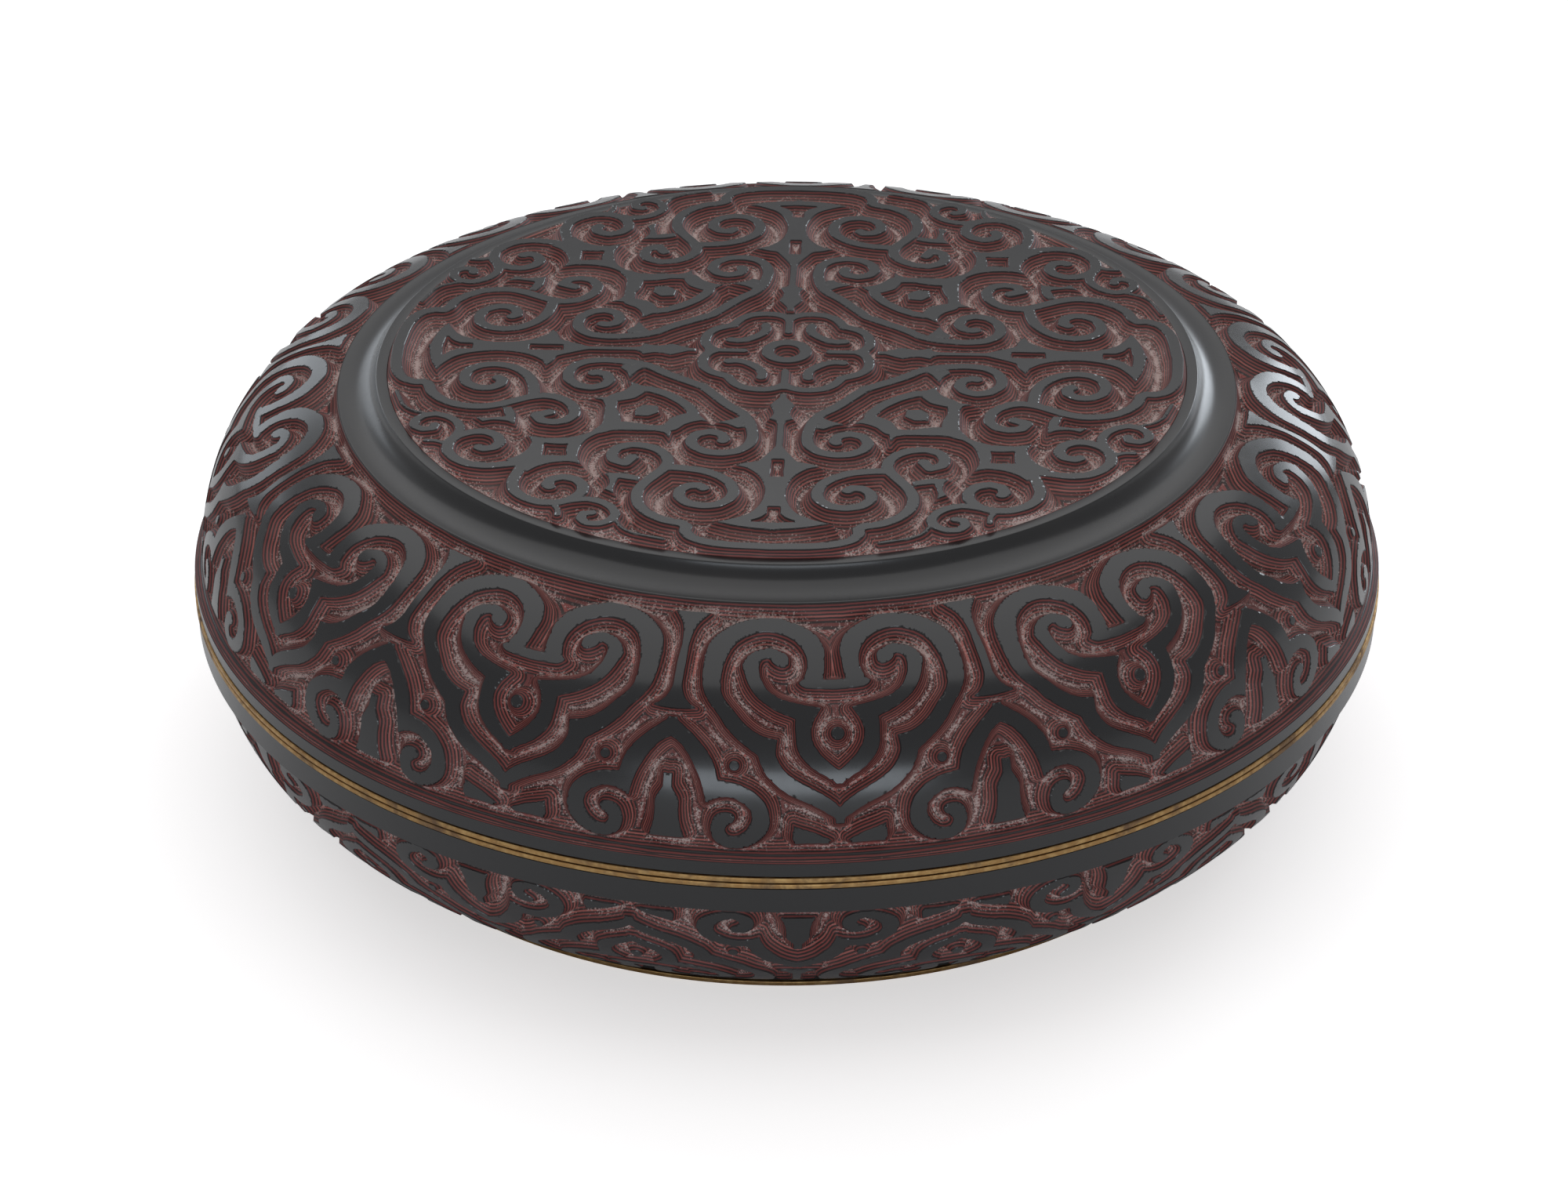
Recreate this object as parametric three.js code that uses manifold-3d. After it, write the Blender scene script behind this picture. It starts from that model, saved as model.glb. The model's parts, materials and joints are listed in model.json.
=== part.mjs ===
// A round carved lacquer box in two halves, lid and base, in millimetres with +Z up.
// The origin is the centre of the foot's lower edge, on the surface that the box stands on.
// Each half has a core of wooden hoops and a board, a thick coat of carved lacquer outside it,
// a thin black lining inside it and a brass band over its mouth. A collar in the base guides the lid.
// Every piece is turned about the Z axis. An outline is drawn as radius and distance from the
// mouth of its half, so one set of functions serves the lid, going up, and the base, going down.
// The carving is cut into the coats afterwards: V-shaped cuts along the main lines of the twelve
// cloud heads round each half and of the round field, each line in a few straight steps.
import * as THREE from "three";
import { ConvexGeometry } from "three/addons/geometries/ConvexGeometry.js";
import { mergeVertices } from "three/addons/utils/BufferGeometryUtils.js";
import Module from "manifold-3d";

// Overall sizes of the closed box.
const boxRadius = 125;
const mouthHeight = 42;
const lidHeight = 46;

// Thicknesses of the layers, from the carved skin inwards, and the gaps between them.
const coatThickness = 4.5;
const coreThickness = 3.3;
const liningThickness = 0.8;
const glueGap = 0.3;
const lidRestGap = 0.3;

// The brass band over each mouth, and how far the lacquer lies inside its edge.
const brassThickness = 1;
const plainBandInset = 0.3;
const carvedSkinInset = 1.6;

// The plain lacquer band beside each mouth and the groove that parts it from the carved field.
const lidBandHeight = 4.1;
const baseBandHeight = 6.6;
const mouthGrooveWidth = 3.5;
const grooveDepth = 2.5;

// The lid's shoulder: a curve from the mouth to the outer edge of the plain channel.
const lidCurveRise = 38.2;
const shoulderRun = 5.7;
const shoulderDrop = 3.3;
const shoulderGrooveWidth = 5.1;

// The plain channel round the top, the low ledge inside it and the raised round field.
const shoulderReach = 32.2;
const channelWidth = 8.1;
const channelDepth = 5.1;
const channelHollow = 0.8;
const channelHollowRun = 1.2;
const ledgeWidth = 2.4;
const ledgeDrop = 1.5;
const fieldStep = 0.3;

// The lid's board, with a raised panel that carries the lacquer of the top field.
const panelCover = 5;
const panelInset = 0.6;

// The base's wall: a curve from the mouth down to the lower edge of the carved coat.
const baseCurveDrop = 19.7;
const coatTurnIn = 22;
const coatEdgeHeight = 3.8;
const turnUnderRun = 12.8;
const turnUnderDrop = 8.6;

// The collar inside the base's mouth, which stands up into the lid.
const collarThickness = 2.4;
const collarRise = 6.5;
const collarSeat = 6;
const collarLeadIn = 0.8;
const collarEase = 0.5;

// The foot ring with its lacquer and its brass edge.
const footSetback = 3;
const footHoopThickness = 3.6;
const footBandProud = 0.2;

// The carving: its repeats, how far each pattern is turned in degrees, and the section of a cut.
const headCount = 12;
const fieldQuarters = 4;
const lidHeadTurn = 4.6;
const baseHeadTurn = 16;
const fieldTurn = -2.15;
const cutWidth = 4.2;
const cutDepth = 2.3;
const cutOverrun = 1;
const mergeDistance = 0.0001;

// The cuts of half a head. Each place is a share of the half head's width, from its axis, and a
// share of the skin's length, from the mouth.
const headOutlineShares = [
  [0.86, 0.9], [0.92, 0.76], [0.85, 0.6], [0.6, 0.46], [0.287, 0.283], [0, 0.17],
];
const headInnerShares = [
  [0.25, 0.7], [0.25, 0.81], [0.6, 0.83], [0.6, 0.59], [0.3, 0.46], [0, 0.294],
];
const crescentShares = [[0, 0.627], [0.36, 0.67]];
const budShares = [[0, 0.885], [0, 0.71]];
const archShares = [[0.833, 0.133], [1, 0.446]];
const archTopShares = [[1, 0.56], [0.64, 0.4]];

// On the base the heads are lower: where they start, and their length beside that of the lid's.
const baseHeadStartShare = 0.078;
const baseHeadLengthShare = 0.918;

// The cuts of an eighth of the round field, as shares of its radius across and towards the rim.
const flowerShares = [[0, 0.237], [0.09, 0.245], [0.171, 0.171]];
const stemShares = [[0.03, 0.242], [0.066, 0.31], [0.04, 0.45], [0.1, 0.57], [0.2, 0.57]];
const leafShares = [[0.231, 0.231], [0.187, 0.3], [0.11, 0.47]];
const cloudShares = [[0.11, 0.63], [0.063, 0.73], [0.15, 0.83], [0.27, 0.76], [0.23, 0.67]];
const rimShares = [[0, 0.94], [0.16, 0.9]];
const sideCloudShares = [[0.36, 0.76], [0.31, 0.87]];
const cornerShares = [[0.273, 0.492], [0.35, 0.475], [0.435, 0.54], [0.4, 0.61]];

// Where the lower hoop of each half meets the upper one, as a share along the wall's curve.
const lidJointShare = 0.42;
const baseJointShare = 0.45;

// How finely the outlines and the turning are divided.
const turnSegments = 48;
const skinSteps = 6;
const layerSteps = 6;
const channelSteps = 4;
const halvings = 40;

// Depths of the layers under the carved skin.
const coreDepth = coatThickness + glueGap;
const coreInnerDepth = coreDepth + coreThickness;
const liningDepth = coreInnerDepth + glueGap;
const liningInnerDepth = liningDepth + liningThickness;

// Radii, worked inwards from the edge of the box.
const skinRadius = boxRadius - carvedSkinInset;
const plainBandRadius = boxRadius - plainBandInset;
const channelEdgeRadius = boxRadius - shoulderReach;
const channelLipRadius = channelEdgeRadius - channelWidth;
const ledgeInnerRadius = channelLipRadius - ledgeWidth;
const topFieldRadius = ledgeInnerRadius - fieldStep;
const coatEdgeRadius = boxRadius - coatTurnIn;
const footRadius = coatEdgeRadius - footSetback;

// Distances from the mouth: the outer face of the brass, its back, and the layers' ends.
const bandFace = lidRestGap / 2;
const bandBack = bandFace + brassThickness;
const wallStart = bandBack + glueGap;

function at(radius, height) {
  return new THREE.Vector2(radius, height);
}

// The lid's skin, from the mouth to the channel's outer edge.
const channelEdge = at(channelEdgeRadius, lidHeight - channelDepth);
const lidSkin = new THREE.CubicBezierCurve(
  at(skinRadius, 0),
  at(skinRadius, lidCurveRise),
  at(channelEdge.x + shoulderRun, channelEdge.y - shoulderDrop),
  channelEdge,
);

// The base's skin, from the mouth to the lower edge of the carved coat.
const coatEdge = at(coatEdgeRadius, mouthHeight - coatEdgeHeight);
const baseSkin = new THREE.CubicBezierCurve(
  at(skinRadius, 0),
  at(skinRadius, baseCurveDrop),
  at(coatEdge.x + turnUnderRun, coatEdge.y - turnUnderDrop),
  coatEdge,
);

// A point under the skin: share runs from 0 at the mouth to 1 at the curve's far end.
function under(skin, share, depth) {
  const along = skin.getTangent(share);
  return skin.getPoint(share).add(at(-along.y, along.x).multiplyScalar(depth));
}

// The share at which the skin reaches a distance from the mouth.
function shareAtHeight(skin, height) {
  let low = 0;
  let high = 1;
  for (let i = 0; i < halvings; i++) {
    const middle = (low + high) / 2;
    if (skin.getPoint(middle).y < height) low = middle;
    else high = middle;
  }
  return (low + high) / 2;
}

// Points along the line under the skin, between two shares.
function run(skin, depth, fromShare, toShare, steps) {
  const points = [];
  for (let i = 0; i <= steps; i++) {
    const share = fromShare + ((toShare - fromShare) * i) / steps;
    points.push(under(skin, share, depth));
  }
  return points;
}

// A line under the skin, cut level at one or two distances from the mouth. Every depth has the same
// straight steps, so that layers that follow each other stay parallel.
function lineUnder(skin, depth, fromHeight, toHeight = Infinity) {
  const line = run(skin, depth, 0, 1, layerSteps);
  const kept = [];
  for (let i = 1; i < line.length; i++) {
    const [before, after] = [line[i - 1], line[i]];
    for (const height of [fromHeight, toHeight]) {
      const passed = (height - before.y) / (after.y - before.y);
      if (passed > 0 && passed < 1) kept.push(before.clone().lerp(after, passed));
    }
    if (after.y >= fromHeight && after.y <= toHeight) kept.push(after);
  }
  return kept;
}

// The bottom of a groove cut between two edges, seen along an outline that keeps solid on its left.
function crease(from, to, depth) {
  const across = to.clone().sub(from).normalize();
  return from.clone().add(to).multiplyScalar(1 / 2).add(at(-across.y, across.x).multiplyScalar(depth));
}

// A hoop of the core between two distances from the mouth, or up to the curve's far end.
function hoop(skin, fromHeight, toHeight) {
  const outer = lineUnder(skin, coreDepth, fromHeight, toHeight);
  const inner = lineUnder(skin, coreInnerDepth, fromHeight, toHeight);
  return [...outer, ...inner.reverse()];
}

// The lining of a half: the wall, and the level face that lies under or on the board.
function lining(skin, level) {
  const outer = lineUnder(skin, liningDepth, wallStart, level);
  const inner = lineUnder(skin, liningInnerDepth, wallStart, level - liningThickness);
  return [at(0, level - liningThickness), ...inner.reverse(), ...outer, at(0, level)];
}

// A ring with a plain rectangular section.
function ring(innerRadius, outerRadius, low, high) {
  return [at(innerRadius, low), at(outerRadius, low), at(outerRadius, high), at(innerRadius, high)];
}

// The start of a carved coat: the end on the brass band, the plain band, the groove and the skin.
function coatStart(skin, bandHeight, endShare) {
  const fieldEdge = shareAtHeight(skin, bandHeight + mouthGrooveWidth);
  const bandEdge = at(plainBandRadius, bandHeight);
  const skinLine = run(skin, 0, fieldEdge, endShare, skinSteps);
  return [
    at(plainBandRadius, wallStart),
    bandEdge,
    crease(bandEdge, skinLine[0], grooveDepth),
    ...skinLine,
  ];
}

// Turns an outline about the Z axis. Upwards is 1 for the lid and -1 for the base, whose outlines
// run down from its mouth and so are read the other way round.
function turned(name, material, outline, upwards) {
  const points = outline.map((p) => at(p.x, p.y * upwards));
  if (upwards < 0) points.reverse();
  const touchesAxis = outline.some((p) => p.x === 0);
  if (!touchesAxis) points.push(points[0].clone());
  const geometry = new THREE.LatheGeometry(points, turnSegments);
  geometry.rotateX(Math.PI / 2);
  const mesh = new THREE.Mesh(geometry, material);
  mesh.name = name;
  return mesh;
}

// The carved face that a cut follows: where its middle lies and which way its outside faces.
function headPlace(skin, [widthShare, lengthShare], axis, side, upwards) {
  const angle = axis + side * widthShare * (Math.PI / headCount);
  const point = skin.getPointAt(lengthShare);
  const along = skin.getTangentAt(lengthShare);
  const outward = new THREE.Vector3(Math.cos(angle), Math.sin(angle), 0);
  return {
    point: outward.clone().multiplyScalar(point.x).setZ(point.y * upwards),
    normal: outward.multiplyScalar(along.y).setZ(-along.x * upwards),
  };
}

function fieldPlace([across, towardsRim], axis, side) {
  const point = new THREE.Vector3(towardsRim, side * across, 0).multiplyScalar(topFieldRadius);
  point.applyAxisAngle(new THREE.Vector3(0, 0, 1), axis).setZ(lidHeight);
  return { point, normal: new THREE.Vector3(0, 0, 1) };
}

// One cut: the V-shaped section at each place, and a straight wedge between one and the next.
function cutAlong(places) {
  const halfWidth = ((cutWidth / 2) * (cutDepth + cutOverrun)) / cutDepth;
  const sections = places.map(({ point, normal }, i) => {
    const before = places[Math.max(i - 1, 0)].point;
    const after = places[Math.min(i + 1, places.length - 1)].point;
    const side = after.clone().sub(before).cross(normal).normalize();
    const top = point.clone().addScaledVector(normal, cutOverrun);
    return [
      point.clone().addScaledVector(normal, -cutDepth),
      top.clone().addScaledVector(side, halfWidth),
      top.clone().addScaledVector(side, -halfWidth),
    ];
  });
  return sections.slice(1).map((section, i) => new ConvexGeometry([...sections[i], ...section]));
}

// The cuts of every head round a half, each half head and its mirror image.
function headCuts(skin, turn, upwards, lines) {
  const place = (share, axis, side) => headPlace(skin, share, axis, side, upwards);
  const cuts = [];
  for (let head = 0; head < headCount; head++) {
    const axis = THREE.MathUtils.degToRad(turn) + (head * 2 * Math.PI) / headCount;
    for (const side of [1, -1]) {
      for (const line of lines) cuts.push(...cutAlong(line.map((p) => place(p, axis, side))));
    }
  }
  return cuts;
}

function fieldCuts(lines) {
  const cuts = [];
  for (let quarter = 0; quarter < fieldQuarters; quarter++) {
    const axis = THREE.MathUtils.degToRad(fieldTurn) + (quarter * 2 * Math.PI) / fieldQuarters;
    for (const side of [1, -1]) {
      for (const line of lines) cuts.push(...cutAlong(line.map((p) => fieldPlace(p, axis, side))));
    }
  }
  return cuts;
}

const wasm = await Module();
wasm.setup();

// A closed mesh as a solid that can be cut, with its shared corners merged.
function solid(geometry) {
  const bare = geometry.clone();
  bare.deleteAttribute("normal");
  bare.deleteAttribute("uv");
  const merged = mergeVertices(bare, mergeDistance);
  return new wasm.Manifold(
    new wasm.Mesh({
      numProp: 3,
      vertProperties: merged.attributes.position.array,
      triVerts: new Uint32Array(merged.index.array),
    }),
  );
}

// Takes the cuts out of a turned coat and keeps its largest body, without chips that came loose.
function carve(mesh, cuts) {
  const bodies = solid(mesh.geometry).subtract(wasm.Manifold.union(cuts.map(solid))).decompose();
  bodies.sort((a, b) => b.volume() - a.volume());
  const carved = bodies[0].getMesh();
  const geometry = new THREE.BufferGeometry();
  geometry.setAttribute("position", new THREE.BufferAttribute(carved.vertProperties, carved.numProp));
  geometry.setIndex(new THREE.BufferAttribute(carved.triVerts, 1));
  geometry.computeVertexNormals();
  mesh.geometry = geometry;
}

const carvedLacquer = new THREE.MeshStandardMaterial({ color: 0x3a2324, roughness: 0.35, metalness: 0 });
const blackLacquer = new THREE.MeshStandardMaterial({ color: 0x17171a, roughness: 0.25, metalness: 0 });
const coreWood = new THREE.MeshStandardMaterial({ color: 0x9a7a52, roughness: 0.75, metalness: 0 });
const brass = new THREE.MeshStandardMaterial({ color: 0xb08c4a, roughness: 0.45, metalness: 1 });

// The lid's pieces.
function makeLid() {
  const lid = new THREE.Group();
  const add = (name, material, outline) => lid.add(turned(name, material, outline, 1));
  const end = lidSkin.getTangent(1);

  // The board closes the upper hoop with an edge cut to the hoop's own end, a glue gap away.
  const boardLow = under(lidSkin, 1, coreInnerDepth).add(end.clone().multiplyScalar(glueGap));
  const boardHigh = under(lidSkin, 1, coreDepth).add(end.clone().multiplyScalar(glueGap));
  const panelRadius = topFieldRadius - panelInset;
  const panelTop = lidHeight - panelCover;
  add("lid_top_board", coreWood, [
    at(0, boardLow.y),
    boardLow,
    boardHigh,
    at(panelRadius, boardHigh.y),
    at(panelRadius, panelTop),
    at(0, panelTop),
  ]);

  // Two hoops make the wall and the shoulder.
  const joint = under(lidSkin, lidJointShare, coreDepth).y;
  add("lid_wall_hoop", coreWood, hoop(lidSkin, wallStart, joint));
  add("lid_shoulder_hoop", coreWood, hoop(lidSkin, joint + glueGap));
  add("lid_lining", blackLacquer, lining(lidSkin, boardLow.y - glueGap));

  // The carved coat: plain band, grooves, shoulder, channel, ledge and raised field.
  const shoulderEdge = 1 - shoulderGrooveWidth / lidSkin.getLength();
  const start = coatStart(lidSkin, lidBandHeight, shoulderEdge);
  const lip = at(channelLipRadius, lidHeight - ledgeDrop);
  const hollow = at(channelLipRadius + channelHollowRun, channelEdge.y - channelHollow);
  const channel = new THREE.QuadraticBezierCurve(channelEdge, hollow, lip);
  const fieldEdge = at(topFieldRadius, lidHeight);
  const coatUnder = boardHigh.y + glueGap;
  add("lid_lacquer", carvedLacquer, [
    at(0, panelTop + glueGap),
    at(panelRadius + glueGap, panelTop + glueGap),
    at(panelRadius + glueGap, coatUnder),
    ...lineUnder(lidSkin, coatThickness, wallStart, coatUnder).reverse(),
    ...start,
    crease(start[start.length - 1], channelEdge, grooveDepth),
    ...channel.getPoints(channelSteps),
    at(ledgeInnerRadius, lidHeight - ledgeDrop),
    fieldEdge,
    at(0, lidHeight),
  ]);

  const heads = [
    headOutlineShares, headInnerShares, crescentShares, budShares, archShares, archTopShares,
  ];
  const flower = [
    flowerShares, stemShares, leafShares, cloudShares, rimShares, sideCloudShares, cornerShares,
  ];
  const cuts = [...headCuts(lidSkin, lidHeadTurn, 1, heads), ...fieldCuts(flower)];
  carve(lid.getObjectByName("lid_lacquer"), cuts);

  // The brass band lies over the ends of the coat, the core and the lining.
  add("lid_mouth_band", brass, ring(skinRadius - liningInnerDepth, boxRadius, bandFace, bandBack));
  return lid;
}

// The base's pieces. Their heights are distances down from the mouth.
function makeBase() {
  const base = new THREE.Group();
  const add = (name, material, outline) => base.add(turned(name, material, outline, -1));
  const end = baseSkin.getTangent(1);

  // The floor board closes the lower hoop as the lid's board closes its shoulder.
  const boardHigh = under(baseSkin, 1, coreInnerDepth).add(end.clone().multiplyScalar(glueGap));
  const boardLow = under(baseSkin, 1, coreDepth).add(end.clone().multiplyScalar(glueGap));
  add("base_floor_board", coreWood, [at(0, boardHigh.y), boardHigh, boardLow, at(0, boardLow.y)]);

  const joint = under(baseSkin, baseJointShare, coreDepth).y;
  add("base_wall_hoop", coreWood, hoop(baseSkin, wallStart, joint));
  add("base_lower_hoop", coreWood, hoop(baseSkin, joint + glueGap));
  add("base_lining", blackLacquer, lining(baseSkin, boardHigh.y - glueGap));
  add("base_lacquer", carvedLacquer, [
    ...coatStart(baseSkin, baseBandHeight, 1),
    ...lineUnder(baseSkin, coatThickness, wallStart).reverse(),
  ]);
  const lowered = headOutlineShares.map(([width, length]) => [
    width, baseHeadStartShare + baseHeadLengthShare * length,
  ]);
  carve(base.getObjectByName("base_lacquer"), headCuts(baseSkin, baseHeadTurn, -1, [lowered]));
  add("base_mouth_band", brass, ring(skinRadius - liningInnerDepth, boxRadius, bandFace, bandBack));

  // The collar is glued inside the lining and stands up past the mouth to guide the lid. It clears
  // the narrowest place of either lining that it faces.
  const seat = lineUnder(baseSkin, liningInnerDepth, collarSeat)[0];
  const reach = lineUnder(lidSkin, liningInnerDepth, collarRise)[0];
  const collarRadius = Math.min(seat.x, reach.x) - collarEase;
  add("mouth_collar", blackLacquer, [
    at(collarRadius - collarThickness, -collarRise),
    at(collarRadius - collarLeadIn, -collarRise),
    at(collarRadius, collarLeadIn - collarRise),
    at(collarRadius, collarSeat),
    at(collarRadius - collarThickness, collarSeat),
  ]);

  // The foot: a wooden hoop under the board, lacquered on both sides, on a brass edge.
  const footTop = boardLow.y + glueGap;
  const footLow = mouthHeight - brassThickness - glueGap;
  const hoopRadius = footRadius - liningThickness - glueGap;
  const hoopInnerRadius = hoopRadius - footHoopThickness;
  const innerFace = hoopInnerRadius - glueGap;
  add("foot_hoop", coreWood, ring(hoopInnerRadius, hoopRadius, footTop, footLow));
  add("foot_lacquer", blackLacquer, ring(footRadius - liningThickness, footRadius, footTop, footLow));
  add("underside_lacquer", blackLacquer, [
    at(0, footTop),
    at(innerFace, footTop),
    at(innerFace, footLow),
    at(innerFace - liningThickness, footLow),
    at(innerFace - liningThickness, footTop + liningThickness),
    at(0, footTop + liningThickness),
  ]);
  const footEdge = ring(
    innerFace - liningThickness,
    footRadius + footBandProud,
    mouthHeight - brassThickness,
    mouthHeight,
  );
  add("foot_band", brass, footEdge);
  return base;
}

const group = new THREE.Group();
for (const half of [makeBase(), makeLid()]) {
  half.position.z = mouthHeight;
  group.add(half);
}

export default group;
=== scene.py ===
# %% [markdown]
# # A round box of carved lacquer
#
# The real box has a thin core of wood, coated with very many coats of lacquer in black and red,
# and carved with V-shaped cuts. The sides of each cut show the coats as fine lines, and the uncut
# tops stay black. Such a surface could be sculpted by hand or pressed in from a picture of heights,
# but then no edge would be sharp and no coat would lie at a true depth. Here the packed CAD part
# gives the frame: the box's size and the bodies that move. The carved coats, the turned coats and
# the brass edges are remade as fine meshes in the same places, and the wood stays the CAD's own.

import json
import math

import bpy
import numpy as np
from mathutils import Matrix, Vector

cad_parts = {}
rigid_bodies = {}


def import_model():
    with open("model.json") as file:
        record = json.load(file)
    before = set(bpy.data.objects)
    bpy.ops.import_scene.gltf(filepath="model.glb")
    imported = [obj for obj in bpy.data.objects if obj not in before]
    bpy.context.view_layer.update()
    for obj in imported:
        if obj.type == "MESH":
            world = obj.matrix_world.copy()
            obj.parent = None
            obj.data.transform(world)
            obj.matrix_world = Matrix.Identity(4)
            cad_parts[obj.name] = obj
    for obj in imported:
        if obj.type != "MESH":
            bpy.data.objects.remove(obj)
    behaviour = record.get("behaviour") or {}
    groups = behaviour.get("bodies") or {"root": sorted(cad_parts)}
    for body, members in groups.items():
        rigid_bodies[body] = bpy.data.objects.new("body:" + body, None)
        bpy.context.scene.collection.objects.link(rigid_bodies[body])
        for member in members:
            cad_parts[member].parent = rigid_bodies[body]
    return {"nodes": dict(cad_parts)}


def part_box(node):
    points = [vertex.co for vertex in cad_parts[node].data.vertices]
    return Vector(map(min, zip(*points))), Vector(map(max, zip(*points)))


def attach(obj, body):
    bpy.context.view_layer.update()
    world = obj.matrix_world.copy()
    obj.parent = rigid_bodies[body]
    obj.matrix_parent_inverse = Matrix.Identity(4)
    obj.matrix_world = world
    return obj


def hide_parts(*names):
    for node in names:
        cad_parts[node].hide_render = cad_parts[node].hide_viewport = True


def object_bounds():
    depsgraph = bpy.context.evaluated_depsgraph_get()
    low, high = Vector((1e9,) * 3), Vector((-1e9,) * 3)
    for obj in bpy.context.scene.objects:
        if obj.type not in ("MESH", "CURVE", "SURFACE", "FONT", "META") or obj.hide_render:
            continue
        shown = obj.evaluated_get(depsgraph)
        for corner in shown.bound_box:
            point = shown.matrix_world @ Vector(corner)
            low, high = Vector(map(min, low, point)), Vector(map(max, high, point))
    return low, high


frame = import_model()
cad_box = [list(corner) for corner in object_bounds()]

MM = 0.001  # the sizes below are in millimetres, the scene's unit is the metre
print("box of the CAD part in mm:", [[round(v / MM, 1) for v in c] for c in cad_box])

# %% [markdown]
# ## The turned shape
#
# Lid and base are turned: each is a curve swung about the upright axis. The lid's curve runs from
# the mouth up to the plain channel, the base's from the mouth down to the foot. A drawing could be
# thrown onto such a shape from one side, but it would stretch where the wall turns over. So the
# curve is walked by its own length, and the drawing is laid on by that length and the angle.

# %% The two skins that are carved
BOX_RADIUS = (cad_box[1][0] - cad_box[0][0]) / 2 / MM
BOX_TOP = cad_box[1][2] / MM
MOUTH = 42.0  # where lid and base meet
SKIN_RADIUS = BOX_RADIUS - 1.6  # the tops of the carving
BAND_RADIUS = BOX_RADIUS - 0.3  # the plain bands at the mouth
BAND_PROUD = BAND_RADIUS - SKIN_RADIUS
LID_BAND, BASE_BAND = 4.1, 6.6  # where the plain bands end, from the mouth
SHOULDER_REACH, CHANNEL_LEVEL = 32.2, 40.9  # where the lid's curve meets the channel
COAT_TURN_IN, COAT_END_LEVEL = 22.0, 38.2  # where the base's curve meets the foot
CHANNEL_WIDTH = 8.1
LEDGE_WIDTH, LEDGE_DROP = 2.4, 1.5  # the narrow step round the carved field
CHANNEL_EDGE = (BOX_RADIUS - SHOULDER_REACH, CHANNEL_LEVEL)
COAT_EDGE = (BOX_RADIUS - COAT_TURN_IN, COAT_END_LEVEL)
COAT = 4.5  # thickness of the lacquer
FIELD_COAT = 4.7  # its thickness under the round field
WALL_START = 1.45  # where the lacquer starts above the brass edge


class Skin:
    """A turned curve, given by radius and distance from the mouth, walked by its own length."""

    def __init__(self, start, first, second, end, upwards):
        t = np.linspace(0, 1, 801)[:, None]
        a, b, c, d = (np.array(q, float) for q in (start, first, second, end))
        self.upwards = upwards
        self.line = (1 - t) ** 3 * a + 3 * (1 - t) ** 2 * t * b + 3 * (1 - t) * t**2 * c + t**3 * d
        steps = np.linalg.norm(np.diff(self.line, axis=0), axis=1)
        self.walked = np.r_[0, np.cumsum(steps)]
        self.length = self.walked[-1]
        along = np.gradient(self.line, self.walked, axis=0)
        self.out = np.stack([along[:, 1], -along[:, 0]], 1)

    def at(self, s, depth=0.0):
        """Radius and distance from the mouth, at a walked length and a depth under the skin."""
        pick = lambda a: np.interp(s, self.walked, a)
        r = pick(self.line[:, 0]) - depth * pick(self.out[:, 0])
        h = pick(self.line[:, 1]) - depth * pick(self.out[:, 1])
        return r, h

    def place(self, s, angle, depth=0.0):
        """Points in space. Angle zero faces the viewer, -Y, and grows to the right."""
        r, h = self.at(s, depth)
        return np.stack([r * np.sin(angle), -r * np.cos(angle), MOUTH + self.upwards * h], -1)


lid_skin = Skin((SKIN_RADIUS, 0), (SKIN_RADIUS, 38.2), (98.5, 37.6), CHANNEL_EDGE, upwards=1)
base_skin = Skin((SKIN_RADIUS, 0), (SKIN_RADIUS, 19.7), (115.8, 29.6), COAT_EDGE, upwards=-1)
print("length of the lid's curve %.1f mm, of the base's %.1f mm" % (lid_skin.length, base_skin.length))

# %% [markdown]
# ## The drawing of the round field
#
# The round field on the lid is one flower inside a cross of cloud scrolls. All of it could be
# drawn, but folded along its axis and its diagonal it repeats eight times, as the carver's own
# pattern did, so only one eighth is drawn: ribbons with a width for the scrolls, and patches with
# an outline for what swells and narrows. Points are (across, towards the viewer) in millimetres
# from the middle.

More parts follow.
